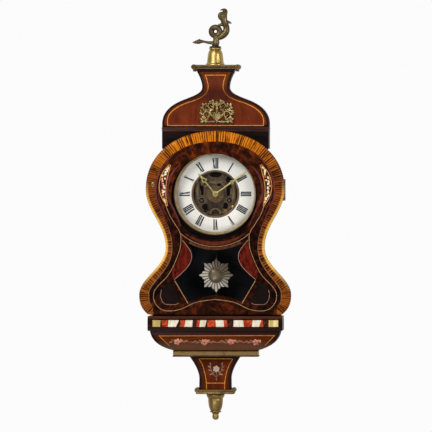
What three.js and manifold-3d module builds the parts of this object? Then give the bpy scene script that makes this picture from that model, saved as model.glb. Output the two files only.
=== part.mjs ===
// Musical wall clock: a waisted, veneered case on a flat backboard, with a hinged front door, an
// open-centre dial, a pendulum movement, a strike and a small musical movement in its hollow base.
// Millimetres, +Z up, front towards -Y. The origin is on the flat back of the backboard, level with
// the centre of the dial.
import * as THREE from 'three';
import { mergeVertices } from 'three/addons/utils/BufferGeometryUtils.js';
import Module from 'manifold-3d';

const wasm = await Module();
wasm.setup();

// Clearances
const seat = 0.2;              // glue line between pieces that sit on each other
const running = 0.4;           // radial play of a turning arbor in its hole

// Backboard, case and door
const boardThickness = 12;
const caseDepth = 78;          // case walls in front of the backboard
const wallThickness = 9;
const doorGap = 2.5;           // between the case's front edge and the door's back
const doorThickness = 20;
const doorApexZ = 123;
const upperLobeHalf = 135.5;
const upperLobeZ = 9;
const waistHalf = 96.5;
const waistZ = -104;
const lowerLobeHalf = 148.2;
const lowerLobeZ = -197;
const doorFootZ = -235;
const doorFootReveal = 0.6;    // door's foot inside the plinth's end
const caseReveal = 4;          // how far the case walls stand inside the door's edge
const floorThickness = 8;

// Door fittings
const apertureR = 81;          // round hole for the dial
const bezelRim = 4.6;
const glassThickness = 1.6;
const windowTopHalf = 51;
const windowWaistHalf = 46;
const windowWaistZ = -123;
const windowWideHalf = 80;
const windowWideZ = -166;
const windowFootHalf = 51;
const windowFootZ = -211;
const windowArchZ = -198;
const windowDrop = 26;         // window's top edge below the dial's hole
const windowRebate = 5;        // depth of the glass rebate in the door's back
const rebateLap = 4;

// Hinges at the right edge
const hingeInset = 1.5;        // hinge axis inside the narrower lobe's edge
const hingeProud = 2.4;        // hinge axis outside the plinth's end
const knuckleR = 3;
const hingePinR = 1.3;
const hingeLeaf = 0.8;          // leaf thickness
const hingeLeafWidth = 9;
const hingeHeight = 42;
const hingeZs = { upper: 8, lower: -196 };

// Lock at the left edge
const lockZ = 18.5;
const lockHeight = 26;
const lockDepth = 9;
const lockWidth = 20;
const lockGap = 8;             // lock case to the inside of the case wall
const boltHeight = 8;
const boltTravel = 10;
const strikeDepth = 4.5;       // depth of the slot in the case wall

// Crest, cap and finial
const crestFloorZ = 88;        // underside of the black block
const crestBlockTopZ = 128.7;
const crestHalf = 104.3;
const crestShoulderZ = 137;
const crestNeckHalf = 26.3;
const crestNeckZ = 208.7;
const crestTopHalf = 36;
const crestTopZ = 238;
const crestSetback = 6;        // crest front behind the case front
const capHalf = 47.8;
const capThickness = 12;
const capRollR = 5.6;
const capOverhang = 5;
const finialFootHeight = 34.2;
const finialFootR = 18.5;
const figureHeight = 74.9;
const figureThickness = 13;
const crestMountHalfWidth = 31;
const crestMountHalfHeight = 23.5;
const crestMountZ = 162;
const crestMountThickness = 4;

// Base: plinth, corbel, brass strip, neck, lower cap and pendant
const plinthTopZ = -238;
const plinthHeight = 29;
const plinthHalf = 131.6;
const plinthReveal = 1.6;      // case walls inside the plinth's end
const plinthProud = 6;         // plinth front in front of the door
const plinthWall = 14;
const plinthDeck = 6;
const inlayHalf = 124;
const inlayHeight = 15.6;
const inlayThickness = 1.2;
const corbelHeight = 38;
const corbelFootHalf = 84;
const corbelWall = 16;
const corbelHollow = 21;
const corbelFootRun = 32;      // how far the corbel's front slopes back
const stripHeight = 12.7;
const neckHeight = 60;
const neckTopHalf = 54.6;
const neckWaistHalf = 31.2;
const neckTopDepth = 66;
const neckWaistDepth = 46;
const lowerCapHalf = 40.4;
const lowerCapHeight = 9;
const lowerCapRollR = 3.4;
const pendantHeight = 50.5;
const pendantR = 17.5;

// Movement
const dialSetback = 1.5;       // dial face behind the case's front edge
const dialThickness = 1.5;
const dialR = 76;
const dialHoleR = 45;
const dialStand = 5;           // dial back to front plate
const plateThickness = 2.5;
const plateSpacing = 21.5;
const plateHalf = 50;
const plateTopZ = 62;
const plateFootZ = -48;
const pillarR = 3;
const pillarInset = 6;
const windingX = 27;
const windingZ = -12.7;
const arborR = 1.5;
const toothAddendum = 0.75;    // in modules
const toothDedendum = 1.15;
const escapeZ = 33;
const palletZ = 52;
const thirdX = -15;
const thirdZ = 22;
const minuteArborZ = -21.6;
const hourHandLength = 52;
const hourHandAngle = 320;     // degrees clockwise from twelve
const minuteHandLength = 74;
const minuteHandAngle = 55;
const handThickness = 1.2;
const bobZ = -159;
const bobR = 33.5;
const bobDiscR = 13.6;
const bobThickness = 3;
const rodR = 1.5;
const rodFootZ = -203;
const crutchLength = 38;
const bellR = 29;
const bellDepth = 19;
const bellInset = 58;          // bell's axis inside the case wall's outer face
const bellZ = 50;
const hammerPivotZ = 12;
const hammerHeadR = 4.5;
const hammerGap = 1;

// Musical movement
const bedEndGap = 7.5;          // bedplate's end to the hollow's wall
const bedThickness = 3;
const musicAxisRise = 17;      // cylinder axis above the bedplate
const musicAxisInset = 38;     // cylinder axis in front of the backboard
const cylinderR = 11;
const musicEndSpace = 98;      // spring drum, bearings and fly beside the cylinder
const bedReach = 36;           // bedplate in front of the cylinder's axis
const combReach = 22;
const combToothLength = 12;
const combBaseDepth = 8;
const combTeeth = 22;
const combThickness = 2;
const musicBarrelR = 15;
const musicBarrelLength = 26;
const flyBladeR = 9;

// Levels worked out from the sizes above
const boardFrontY = -boardThickness;
const caseFrontY = boardFrontY - caseDepth;
const doorFootHalf = plinthHalf - doorFootReveal;
const hingeX = Math.min(upperLobeHalf - hingeInset, lowerLobeHalf - hingeInset, plinthHalf + hingeProud);
const caseMost = Math.min(hingeX - knuckleR - 1, plinthHalf - plinthReveal);
const caseUpper = Math.min(upperLobeHalf - caseReveal, caseMost);
const caseLower = Math.min(lowerLobeHalf - caseReveal, caseMost);
const lockX = -(caseUpper - wallThickness - lockGap);   // outer side of the lock case
const bellX = -(caseUpper - bellInset);
const doorBackY = caseFrontY - doorGap;
const doorFrontY = doorBackY - doorThickness;
const hingeY = caseFrontY - doorGap / 2;
const crestFrontY = caseFrontY + crestSetback;
const midY = crestFrontY / 2;
const plinthFrontY = doorFrontY - plinthProud;
const plinthFootZ = plinthTopZ - plinthHeight;
const corbelTopZ = plinthFootZ - seat;
const corbelFootZ = corbelTopZ - corbelHeight;
const stripTopZ = corbelFootZ - seat;
const neckTopZ = stripTopZ - stripHeight - seat;
const neckFootZ = neckTopZ - neckHeight;
const lowerCapTopZ = neckFootZ - seat;
const dialFaceY = caseFrontY + dialSetback;
const frontPlateY = dialFaceY + dialThickness + dialStand;
const frontPlateBackY = frontPlateY + plateThickness;
const backPlateY = frontPlateBackY + plateSpacing;
const backPlateBackY = backPlateY + plateThickness;

// Materials
const finish = (color, roughness, metalness) => () =>
  new THREE.MeshStandardMaterial({ color, roughness, metalness });
const veneer = finish(0x6e2d1e, 0.3, 0);
const ebonised = finish(0x1c1614, 0.35, 0);
const pine = finish(0x8a6238, 0.7, 0);
const brass = finish(0xb0924a, 0.35, 1);
const bronze = finish(0x6e6446, 0.45, 1);
const steel = finish(0x8a8c90, 0.35, 1);
const silver = finish(0xc8c2b0, 0.3, 1);
const enamel = finish(0xf0ede2, 0.2, 0);
const bone = finish(0xe6dcc3, 0.4, 0);
const clearGlass = () =>
  new THREE.MeshStandardMaterial({ color: 0xdfe8ea, roughness: 0.05, transparent: true, opacity: 0.3 });

const clock = new THREE.Group();

function add(name, geometry, material) {
  const mesh = new THREE.Mesh(geometry, material());
  mesh.name = name;
  clock.add(mesh);
}

// Joining and cutting closed solids
function solidOf(geometry) {
  const bare = geometry.clone();
  bare.deleteAttribute('normal');
  bare.deleteAttribute('uv');
  const merged = mergeVertices(bare, 1e-4);
  return new wasm.Manifold(new wasm.Mesh({
    numProp: 3,
    vertProperties: new Float32Array(merged.attributes.position.array),
    triVerts: new Uint32Array(merged.index.array),
  }));
}

function geometryOf(solid) {
  const mesh = solid.getMesh();
  const geometry = new THREE.BufferGeometry();
  geometry.setAttribute('position', new THREE.BufferAttribute(mesh.vertProperties, 3));
  geometry.setIndex(new THREE.BufferAttribute(mesh.triVerts, 1));
  return geometry;
}

function join(first, ...others) {
  return geometryOf(others.reduce((all, next) => all.add(solidOf(next)), solidOf(first)));
}

function cut(first, ...tools) {
  return geometryOf(tools.reduce((left, tool) => left.subtract(solidOf(tool)), solidOf(first)));
}

function common(first, second) {
  return geometryOf(solidOf(first).intersect(solidOf(second)));
}

// Basic solids in the clock's frame
function box(x0, x1, y0, y1, z0, z1) {
  return new THREE.BoxGeometry(x1 - x0, y1 - y0, z1 - z0)
    .translate((x0 + x1) / 2, (y0 + y1) / 2, (z0 + z1) / 2);
}

// A shape drawn in x and z, standing between two depths
function slab(shape, frontY, backY, curveSegments = 10) {
  return new THREE.ExtrudeGeometry(shape, { depth: backY - frontY, bevelEnabled: false, curveSegments })
    .rotateX(Math.PI / 2)
    .translate(0, backY, 0);
}

// A shape drawn in y and z, standing between two sides
function sideSlab(shape, leftX, rightX, curveSegments = 10) {
  return new THREE.ExtrudeGeometry(shape, { depth: rightX - leftX, bevelEnabled: false, curveSegments })
    .rotateX(Math.PI / 2)
    .rotateZ(Math.PI / 2)
    .translate(leftX, 0, 0);
}

function rodY(radius, frontY, backY, x, z, sides = 10) {
  return new THREE.CylinderGeometry(radius, radius, backY - frontY, sides)
    .translate(x, (frontY + backY) / 2, z);
}

function rodZ(radius, z0, z1, x, y, sides = 10) {
  return new THREE.CylinderGeometry(radius, radius, z1 - z0, sides)
    .rotateX(Math.PI / 2)
    .translate(x, y, (z0 + z1) / 2);
}

function rodX(radius, x0, x1, y, z, sides = 16) {
  return new THREE.CylinderGeometry(radius, radius, x1 - x0, sides)
    .rotateZ(Math.PI / 2)
    .translate((x0 + x1) / 2, y, z);
}

// A turned solid about a vertical axis, from [radius, height] pairs listed upwards
function turnedZ(pairs, x, y, sides = 20) {
  return new THREE.LatheGeometry(pairs.map(([r, h]) => new THREE.Vector2(r, h)), sides)
    .rotateX(Math.PI / 2)
    .translate(x, y, 0);
}

// A turned solid about an axis running front to back, from [radius, depth] pairs
function turnedY(pairs, x, z, sides = 48) {
  return new THREE.LatheGeometry(pairs.map(([r, y]) => new THREE.Vector2(r, y)), sides)
    .translate(x, 0, z);
}

function rectangle(halfWidth, z0, z1) {
  const shape = new THREE.Shape();
  shape.moveTo(-halfWidth, z0);
  shape.lineTo(halfWidth, z0);
  shape.lineTo(halfWidth, z1);
  shape.lineTo(-halfWidth, z1);
  shape.closePath();
  return shape;
}

// A half outline drawn on the right by `draw`, closed by its mirror image on the left
function mirrored(draw, divisions = 10) {
  const right = new THREE.Path();
  draw(right);
  const points = right.getPoints(divisions);
  const left = points.filter((point) => point.x > 1e-6).map((point) => new THREE.Vector2(-point.x, point.y));
  return new THREE.Shape([...points, ...left.reverse()]);
}

// The waisted outline that the door, the case and the backboard share
function waisted({ apexZ, upper, waist, lower, foot, footZ }) {
  const shoulderReach = 0.53;
  const shoulderDrop = 0.64;
  return mirrored((path) => {
    path.moveTo(0, apexZ);
    path.bezierCurveTo(
      upper * shoulderReach, apexZ,
      upper, upperLobeZ + (apexZ - upperLobeZ) * shoulderDrop,
      upper, upperLobeZ,
    );
    const upperDrop = upperLobeZ - waistZ;
    path.bezierCurveTo(upper, upperLobeZ - upperDrop * 0.37, waist, waistZ + upperDrop * 0.39, waist, waistZ);
    const lowerDrop = waistZ - lowerLobeZ;
    path.bezierCurveTo(
      waist, waistZ - lowerDrop * 0.42,
      lower, lowerLobeZ + lowerDrop * 0.36,
      lower, lowerLobeZ,
    );
    const footDrop = lowerLobeZ - footZ;
    const footRun = lower - foot;
    path.bezierCurveTo(
      lower, lowerLobeZ - footDrop * 0.5,
      foot + footRun * 0.64, footZ + footDrop * 0.24,
      foot, footZ,
    );
  });
}

// Backboard: one flat board behind the whole clock, with a hook hole behind the hanger plate
const caseFoot = Math.min(doorFootHalf - caseReveal, caseLower - 2);
const caseFootZ = doorFootZ - 1;
const caseOutline = {
  apexZ: doorApexZ - caseReveal,
  upper: caseUpper,
  waist: waistHalf - caseReveal,
  lower: caseLower,
  foot: caseFoot,
  footZ: caseFootZ,
};
const hangerZ = crestNeckZ - 24;
const hangerHalf = 14;
const hangerHeight = 40;
const hangerThickness = 2;
const hookHoleHalf = 9;
const hookHoleHeight = 30;
const keyholeHalf = 4;

function makeBackboard() {
  const boards = [
    rectangle(crestHalf - caseReveal, upperLobeZ, crestBlockTopZ),
    rectangle(crestNeckHalf - 3, crestFloorZ, crestTopZ - 2),
    rectangle(plinthHalf - 5, plinthFootZ, doorFootZ + floorThickness),
    rectangle(corbelFootHalf - 4, corbelFootZ, plinthFootZ + floorThickness),
    rectangle(neckWaistHalf - 3, neckFootZ + 2, corbelFootZ + floorThickness),
  ].map((shape) => slab(shape, boardFrontY, 0));
  const pocket = box(
    -hangerHalf - seat, hangerHalf + seat, -hangerThickness - seat, boardThickness,
    hangerZ - hangerHeight / 2 - seat, hangerZ + hangerHeight / 2 + seat,
  );
  const hookHole = box(
    -hookHoleHalf, hookHoleHalf, -boardThickness * 2, boardThickness,
    hangerZ - hookHoleHeight / 2, hangerZ + hookHoleHeight / 2,
  );
  return cut(join(slab(waisted(caseOutline), boardFrontY, 0), ...boards), pocket, hookHole);
}
add('backboard', makeBackboard(), pine);

// Hanger plate: brass, let into the board's back, with a keyhole for a hook
function makeHangerPlate() {
  const plate = rectangle(hangerHalf, hangerZ - hangerHeight / 2, hangerZ + hangerHeight / 2);
  const keyhole = new THREE.Path();
  keyhole.moveTo(-keyholeHalf, hangerZ - hookHoleHeight / 2 + 3);
  keyhole.lineTo(keyholeHalf, hangerZ - hookHoleHeight / 2 + 3);
  keyhole.lineTo(keyholeHalf, hangerZ + hookHoleHeight / 2 - keyholeHalf - 2);
  keyhole.absarc(0, hangerZ + hookHoleHeight / 2 - keyholeHalf - 2, keyholeHalf, 0, Math.PI);
  keyhole.closePath();
  plate.holes.push(keyhole);
  return slab(plate, -hangerThickness, 0, 6);
}
add('hanger_plate', makeHangerPlate(), brass);

// Case sides: bent walls that follow the waisted outline, from the crest block to the plinth
function makeCaseSide(side) {
  const inner = {
    ...caseOutline,
    apexZ: caseOutline.apexZ - wallThickness,
    upper: caseOutline.upper - wallThickness,
    waist: caseOutline.waist - wallThickness,
    lower: caseOutline.lower - wallThickness,
    foot: caseOutline.foot - wallThickness,
    footZ: caseFootZ - 0.5,
  };
  const backY = boardFrontY - seat;
  const ring = cut(
    slab(waisted(caseOutline), caseFrontY, backY),
    slab(waisted(inner), caseFrontY - 1, backY + 1),
  );
  const reach = lowerLobeHalf;
  const nearX = wallThickness;
  const half = box(
    side < 0 ? -reach : nearX, side < 0 ? -nearX : reach,
    caseFrontY - 1, 0, caseFootZ - 1, crestFloorZ - seat,
  );
  const wall = common(ring, half);
  if (side > 0) return wall;
  const strike = box(
    lockX - boltTravel - strikeDepth + 2, lockX,
    caseFrontY - 1, doorBackY + lockDepth + 2,
    lockZ - boltHeight / 2 - 2, lockZ + boltHeight / 2 + 2,
  );
  return cut(wall, strike);
}
add('case_side_left', makeCaseSide(-1), veneer);
add('case_side_right', makeCaseSide(1), veneer);

// Case floor: a board between the walls, on the plinth
const caseFloorHalf = caseFoot - wallThickness - 3;
add('case_floor', box(
  -caseFloorHalf, caseFloorHalf, caseFrontY, boardFrontY - seat, caseFootZ, caseFootZ + floorThickness,
), pine);

// Crest: black block behind the door's top, veneered shaped head above it
add('crest_block', box(
  -crestHalf, crestHalf, caseFrontY, boardFrontY - seat, crestFloorZ, crestBlockTopZ,
), ebonised);

const crestOutline = mirrored((path) => {
  const footZ = crestBlockTopZ + seat;
  const shoulderRise = crestNeckZ - crestShoulderZ;
  const midHalf = crestNeckHalf + (crestHalf - crestNeckHalf) * 0.46;
  const midZ = crestShoulderZ + shoulderRise * 0.655;
  path.moveTo(0, footZ);
  path.lineTo(crestHalf, footZ);
  path.lineTo(crestHalf, crestShoulderZ);
  path.bezierCurveTo(
    crestHalf, crestShoulderZ + shoulderRise * 0.39,
    midHalf + 16, crestShoulderZ + shoulderRise * 0.57,
    midHalf, midZ,
  );
  path.bezierCurveTo(
    midHalf - 20, midZ + shoulderRise * 0.11,
    crestNeckHalf, crestNeckZ - shoulderRise * 0.165,
    crestNeckHalf, crestNeckZ,
  );
  path.bezierCurveTo(
    crestNeckHalf, crestNeckZ + (crestTopZ - crestNeckZ) * 0.32,
    crestTopHalf - 5, crestTopZ - (crestTopZ - crestNeckZ) * 0.27,
    crestTopHalf, crestTopZ,
  );
  path.lineTo(0, crestTopZ);
});
add('crest_head', slab(crestOutline, crestFrontY, boardFrontY - seat), veneer);

// Crest mount: a cast gilt openwork spray pinned to the crest's front
function makeCrestMount() {
  const lobes = 8;
  const steps = lobes * 6;
  const points = [];
  for (let k = 0; k < steps; k += 1) {
    const angle = (k / steps) * 2 * Math.PI;
    const reach = 0.86 + 0.14 * Math.cos(lobes * angle);
    points.push(new THREE.Vector2(
      crestMountHalfWidth * reach * Math.cos(angle),
      crestMountZ + crestMountHalfHeight * reach * Math.sin(angle),
    ));
  }
  const spray = new THREE.Shape(points);
  const pierceHalfWidth = crestMountHalfWidth * 0.2;
  const pierceHalfHeight = crestMountHalfHeight * 0.28;
  [-1, 1].forEach((side) => {
    const pierce = new THREE.Path();
    pierce.absellipse(
      side * crestMountHalfWidth * 0.45, crestMountZ, pierceHalfWidth, pierceHalfHeight, 0, 2 * Math.PI,
    );
    spray.holes.push(pierce);
  });
  return slab(spray, crestFrontY - seat - crestMountThickness, crestFrontY - seat, 6);
}
add('crest_mount', makeCrestMount(), brass);

// Crest cap: a plate with rolled ends
const capFootZ = crestTopZ + seat;
const capTopZ = capFootZ + capThickness;
const capRollX = capHalf - capRollR;
const capFrontY = crestFrontY - capOverhang;
const capBackY = boardFrontY + capOverhang;
add('crest_cap', join(
  box(-capRollX, capRollX, capFrontY, capBackY, capFootZ, capTopZ),
  ...[-1, 1].map((side) => rodY(
    capRollR, capFrontY, capBackY, side * capRollX, capFootZ + capRollR * 0.4, 20,
  )),
), brass);

// Finial foot: a turned brass bell
const finialFootZ = capTopZ + seat;
const finialFootTopZ = finialFootZ + finialFootHeight;
add('finial_foot', turnedZ([
  [0, finialFootZ],
  [finialFootR, finialFootZ],
  [finialFootR, finialFootZ + 2.5],
  [finialFootR * 0.82, finialFootZ + 5],
  [finialFootR * 0.8, finialFootZ + 12],
  [finialFootR * 0.74, finialFootZ + 20],
  [finialFootR * 0.62, finialFootTopZ - 6],
  [finialFootR * 0.6, finialFootTopZ],
  [0, finialFootTopZ],
], 0, midY), brass);

// Finial figure: a cast curled sea beast, its tail to the left
function makeFigure() {
  const front = midY - figureThickness / 2;
  const back = midY + figureThickness / 2;
  const footZ = finialFootTopZ + seat;
  const unit = figureHeight / 75;
  const coilR = 12.3 * unit;
  const coilHoleR = 4.3 * unit;
  const coilZ = footZ + 32 * unit;
  const footHeight = 4 * unit;
  // Draws one outline from points and curves given from the figure's foot, in shares of its height
  const outline = (...steps) => {
    const shape = new THREE.Shape();
    steps.forEach((step, index) => {
      const places = step.map((value, place) => (place % 2 ? footZ : 0) + value * unit);
      if (index === 0) shape.moveTo(...places);
      else if (places.length === 2) shape.lineTo(...places);
      else shape.bezierCurveTo(...places);
    });
    shape.closePath();
    return shape;
  };
  const coil = cut(
    rodY(coilR, front, back, 0, coilZ, 24),
    rodY(coilHoleR, front - 1, back + 1, 0, coilZ, 14),
  );
  const stem = slab(rectangle(5.5 * unit, footZ + footHeight - 1, coilZ - coilR + 2), front + 2, back - 2);
  const body = outline(
    [4, 24],
    [26, 22, 31, 38, 24, 46],
    [21, 56, 27, 58, 23, 68],
    [20, 78, 11, 77, 8, 66],
    [15, 62],
    [13, 56, 8, 50, 4, 43],
  );
  const fin = outline([21, 43], [32, 48], [22, 51]);
  const tail = outline(
    [0, 7.5], [-34, 9.5], [-45, 5], [-42, 11], [-45, 16], [-34, 13], [-31, 18], [-28, 13.5], [0, 15],
  );
  return join(
    rodZ(finialFootR * 0.62, footZ, footZ + footHeight, 0, midY, 20),
    stem,
    coil,
    slab(body, front + 1, back - 1, 8),
    slab(fin, front + 4, back - 4),
    slab(tail, front + 3, back - 3),
  );
}
add('finial_figure', makeFigure(), bronze);

// Plinth: an ebonised hollow box under the case, open below and behind
add('plinth', cut(
  box(-plinthHalf, plinthHalf, plinthFrontY, boardFrontY - seat, plinthFootZ, plinthTopZ),
  box(
    -plinthHalf + plinthWall, plinthHalf - plinthWall, plinthFrontY + plinthWall, 0,
    plinthFootZ - 1, plinthTopZ - plinthDeck,
  ),
), ebonised);

// Inlay strip: a thin band of bone and coloured pieces let onto the plinth's front
const inlayZ = plinthTopZ - plinthHeight / 2;
add('inlay_strip', slab(
  rectangle(inlayHalf, inlayZ - inlayHeight / 2, inlayZ + inlayHeight / 2),
  plinthFrontY - seat - inlayThickness, plinthFrontY - seat,
), bone);

// Corbel: a hollowed block that curves in below the plinth, at its sides and its front
const corbelTopHalf = plinthHalf - 4.5;
const corbelHollowWall = corbelWall * 1.6;
const corbelHollowHalf = corbelTopHalf - corbelHollowWall;
const corbelFrontY = plinthFrontY + 4.5;
const corbelFootY = corbelFrontY + corbelFootRun;
const corbelHollowFloorZ = corbelTopZ - corbelHollow;

function makeCorbel() {
  const run = corbelTopHalf - corbelFootHalf;
  const sides = mirrored((path) => {
    path.moveTo(0, corbelTopZ);
    path.lineTo(corbelTopHalf, corbelTopZ);
    path.bezierCurveTo(
      corbelTopHalf - run * 0.07, corbelTopZ - corbelHeight * 0.45,
      corbelTopHalf - run * 0.34, corbelTopZ - corbelHeight * 0.8,
      corbelFootHalf, corbelFootZ,
    );
    path.lineTo(0, corbelFootZ);
  });
  const front = new THREE.Shape();
  front.moveTo(boardFrontY - seat, corbelTopZ);
  front.lineTo(corbelFrontY, corbelTopZ);
  front.bezierCurveTo(
    corbelFrontY + corbelFootRun * 0.07, corbelTopZ - corbelHeight * 0.45,
    corbelFrontY + corbelFootRun * 0.34, corbelTopZ - corbelHeight * 0.8,
    corbelFootY, corbelFootZ,
  );
  front.lineTo(boardFrontY - seat, corbelFootZ);
  front.closePath();
  const block = common(
    slab(sides, corbelFrontY - 1, 0),
    sideSlab(front, -plinthHalf, plinthHalf),
  );
  const hollow = box(
    -corbelHollowHalf, corbelHollowHalf, corbelFrontY + corbelHollowWall, 0,
    corbelHollowFloorZ, corbelTopZ + 1,
  );
  return cut(block, hollow);
}
add('corbel', makeCorbel(), veneer);

// Brass strip under the corbel
const stripFrontY = corbelFootY - 2;
add('base_strip', box(
  -corbelFootHalf, corbelFootHalf, stripFrontY, boardFrontY - seat, stripTopZ - stripHeight, stripTopZ,
), brass);

// Neck: a waisted block, narrowing at its sides and its front
const neckFootHalf = neckWaistHalf + 0.8;
const neckTopY = boardFrontY - seat - neckTopDepth;
const neckWaistY = boardFrontY - seat - neckWaistDepth;

function makeNeck() {
  const waistLevel = neckTopZ - neckHeight * 0.72;
  const sides = mirrored((path) => {
    path.moveTo(0, neckTopZ);
    path.lineTo(neckTopHalf, neckTopZ);
    path.bezierCurveTo(
      neckTopHalf - 15, neckTopZ - neckHeight * 0.1,
      neckWaistHalf, neckTopZ - neckHeight * 0.42,
      neckWaistHalf, waistLevel,
    );
    path.lineTo(neckFootHalf, neckFootZ);
    path.lineTo(0, neckFootZ);
  });
  const front = new THREE.Shape();
  front.moveTo(boardFrontY - seat, neckTopZ);
  front.lineTo(neckTopY, neckTopZ);
  front.bezierCurveTo(
    neckTopY + 12, neckTopZ - neckHeight * 0.1,
    neckWaistY, neckTopZ - neckHeight * 0.42,
    neckWaistY, waistLevel,
  );
  front.lineTo(neckWaistY, neckFootZ);
  front.lineTo(boardFrontY - seat, neckFootZ);
  front.closePath();
  return common(slab(sides, neckTopY - 1, 0), sideSlab(front, -neckTopHalf - 1, neckTopHalf + 1));
}
add('neck_block', makeNeck(), veneer);

// Lower cap: a plate with small rolled ears beside the neck
const lowerCapFootZ = lowerCapTopZ - lowerCapHeight;
const lowerCapFrontY = neckWaistY - capOverhang;
const lowerCapBackY = boardFrontY + capOverhang;
const earX = lowerCapHalf - lowerCapRollR;
add('lower_cap', join(
  box(-lowerCapHalf, lowerCapHalf, lowerCapFrontY, lowerCapBackY, lowerCapFootZ, lowerCapTopZ),
  ...[-1, 1].map((side) => rodY(
    lowerCapRollR, lowerCapFrontY, lowerCapBackY, side * earX, lowerCapTopZ + lowerCapRollR * 0.6, 16,
  )),
), brass);

// Pendant: a turned brass drop
const pendantTopZ = lowerCapFootZ - seat;
const pendantFootZ = pendantTopZ - pendantHeight;
const pendantY = (lowerCapFrontY + lowerCapBackY) / 2;
add('pendant', turnedZ([
  [0, pendantFootZ],
  [pendantR * 0.22, pendantFootZ + 0.7],
  [pendantR * 0.36, pendantFootZ + 4],
  [pendantR * 0.37, pendantFootZ + 7],
  [pendantR * 0.2, pendantFootZ + 11.5],
  [pendantR * 0.38, pendantFootZ + 14],
  [pendantR * 0.67, pendantFootZ + 16],
  [pendantR * 0.67, pendantFootZ + 18],
  [pendantR * 0.55, pendantFootZ + 20],
  [pendantR * 0.72, pendantFootZ + 26],
  [pendantR * 0.84, pendantFootZ + 31],
  [pendantR * 0.84, pendantTopZ - 8],
  [pendantR, pendantTopZ - 4],
  [pendantR, pendantTopZ],
  [0, pendantTopZ],
], 0, pendantY), brass);

// Door: the waisted frame that carries the bezel, the window and the hinges
const windowTopZ = -Math.sqrt((apertureR + windowDrop) ** 2 - windowTopHalf ** 2);

function windowOutline() {
  return mirrored((path) => {
    path.moveTo(0, -apertureR - windowDrop);
    path.quadraticCurveTo(windowTopHalf * 0.52, -apertureR - windowDrop, windowTopHalf, windowTopZ);
    path.quadraticCurveTo(
      windowWaistHalf - 1, (windowTopZ + windowWaistZ) / 2, windowWaistHalf, windowWaistZ,
    );
    path.bezierCurveTo(
      windowWaistHalf + 1, windowWaistZ - 16,
      windowWideHalf - 16, windowWideZ + 16,
      windowWideHalf, windowWideZ,
    );
    path.lineTo(windowFootHalf, windowFootZ);
    path.quadraticCurveTo(windowFootHalf * 0.5, windowArchZ, 0, windowArchZ);
  }, 8);
}

const rebateHalf = windowWideHalf + rebateLap;
const rebateTopZ = -apertureR - windowDrop + 2 * rebateLap;
const rebateFootZ = windowFootZ - rebateLap;

function makeDoorFrame() {
  const outline = waisted({
    apexZ: doorApexZ, upper: upperLobeHalf, waist: waistHalf, lower: lowerLobeHalf,
    foot: doorFootHalf, footZ: doorFootZ,
  });
  const aperture = rodY(apertureR, doorFrontY - 1, doorBackY + 1, 0, 0, 48);
  const opening = slab(windowOutline(), doorFrontY - 1, doorBackY + 1);
  const rebate = box(
    -rebateHalf, rebateHalf, doorBackY - windowRebate, doorBackY + 1, rebateFootZ, rebateTopZ,
  );
  const knuckleRecesses = Object.values(hingeZs).map((z) => rodZ(
    knuckleR + running, z - hingeHeight / 2 - 1, z + hingeHeight / 2 + 1, hingeX, hingeY, 16,
  ));
  return cut(slab(outline, doorFrontY, doorBackY), aperture, opening, rebate, ...knuckleRecesses);
}
add('door_frame', makeDoorFrame(), veneer);

// Bezel and dial glass, fixed in the door's round hole
const bezelR = apertureR - 2 * seat;
const bezelFrontY = doorFrontY + 2;
const bezelBackY = doorBackY - 3.5;
const glassFrontY = bezelFrontY + 5.5;
const lipR = bezelR - bezelRim;
const glassSeatR = lipR + bezelRim / 2;
add('dial_bezel', turnedY([
  [bezelR, bezelFrontY + 3],
  [bezelR, bezelBackY],
  [glassSeatR, bezelBackY],
  [glassSeatR, glassFrontY - seat],
  [lipR, glassFrontY - seat],
  [lipR, bezelFrontY + 2],
  [lipR + bezelRim / 3, bezelFrontY],
  [bezelR - bezelRim / 3, bezelFrontY],
  [bezelR, bezelFrontY + 3],
], 0, 0), brass);
add('dial_glass', rodY(
  glassSeatR - 2 * seat, glassFrontY, glassFrontY + glassThickness, 0, 0, 48,
), clearGlass);

// Window glass, in a rebate in the door's back
add('window_glass', box(
  -rebateHalf + seat, rebateHalf - seat,
  doorBackY - windowRebate + seat, doorBackY - windowRebate + seat + glassThickness,
  rebateFootZ + seat, rebateTopZ - seat,
), clearGlass);

// Hinges: a case leaf with two knuckles and the pin, and a door leaf with the middle knuckle
const knuckleThird = hingeHeight / 3;
const leafX = hingeX - knuckleR - hingeLeafWidth;
const leafEndX = hingeX - knuckleR - seat;
const caseLeafY = caseFrontY - seat - hingeLeaf;
const doorLeafY = doorBackY + seat;

function makeCaseLeaf(z) {
  const low = z - hingeHeight / 2;
  const high = z + hingeHeight / 2;
  const ends = [[low, low + knuckleThird], [high - knuckleThird, high]];
  return join(
    box(leafX, leafEndX, caseLeafY, caseLeafY + hingeLeaf, low, high),
    ...ends.map(([z0, z1]) => box(leafEndX - 1, hingeX, caseLeafY, caseLeafY + hingeLeaf, z0, z1)),
    ...ends.map(([z0, z1]) => rodZ(knuckleR, z0, z1, hingeX, hingeY, 14)),
    rodZ(hingePinR, low, high, hingeX, hingeY, 10),
  );
}

function makeDoorLeaf(z) {
  const low = z - hingeHeight / 2;
  const high = z + hingeHeight / 2;
  const z0 = low + knuckleThird + running;
  const z1 = high - knuckleThird - running;
  const leaf = join(
    box(leafX, leafEndX, doorLeafY, doorLeafY + hingeLeaf, low, high),
    box(leafEndX - 1, hingeX, doorLeafY, doorLeafY + hingeLeaf, z0, z1),
    rodZ(knuckleR, z0, z1, hingeX, hingeY, 14),
  );
  return cut(leaf, rodZ(hingePinR + running, low - 1, high + 1, hingeX, hingeY, 14));
}

Object.entries(hingeZs).forEach(([place, z]) => {
  add(`hinge_${place}_case_leaf`, makeCaseLeaf(z), brass);
  add(`hinge_${place}_door_leaf`, makeDoorLeaf(z), brass);
});

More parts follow.
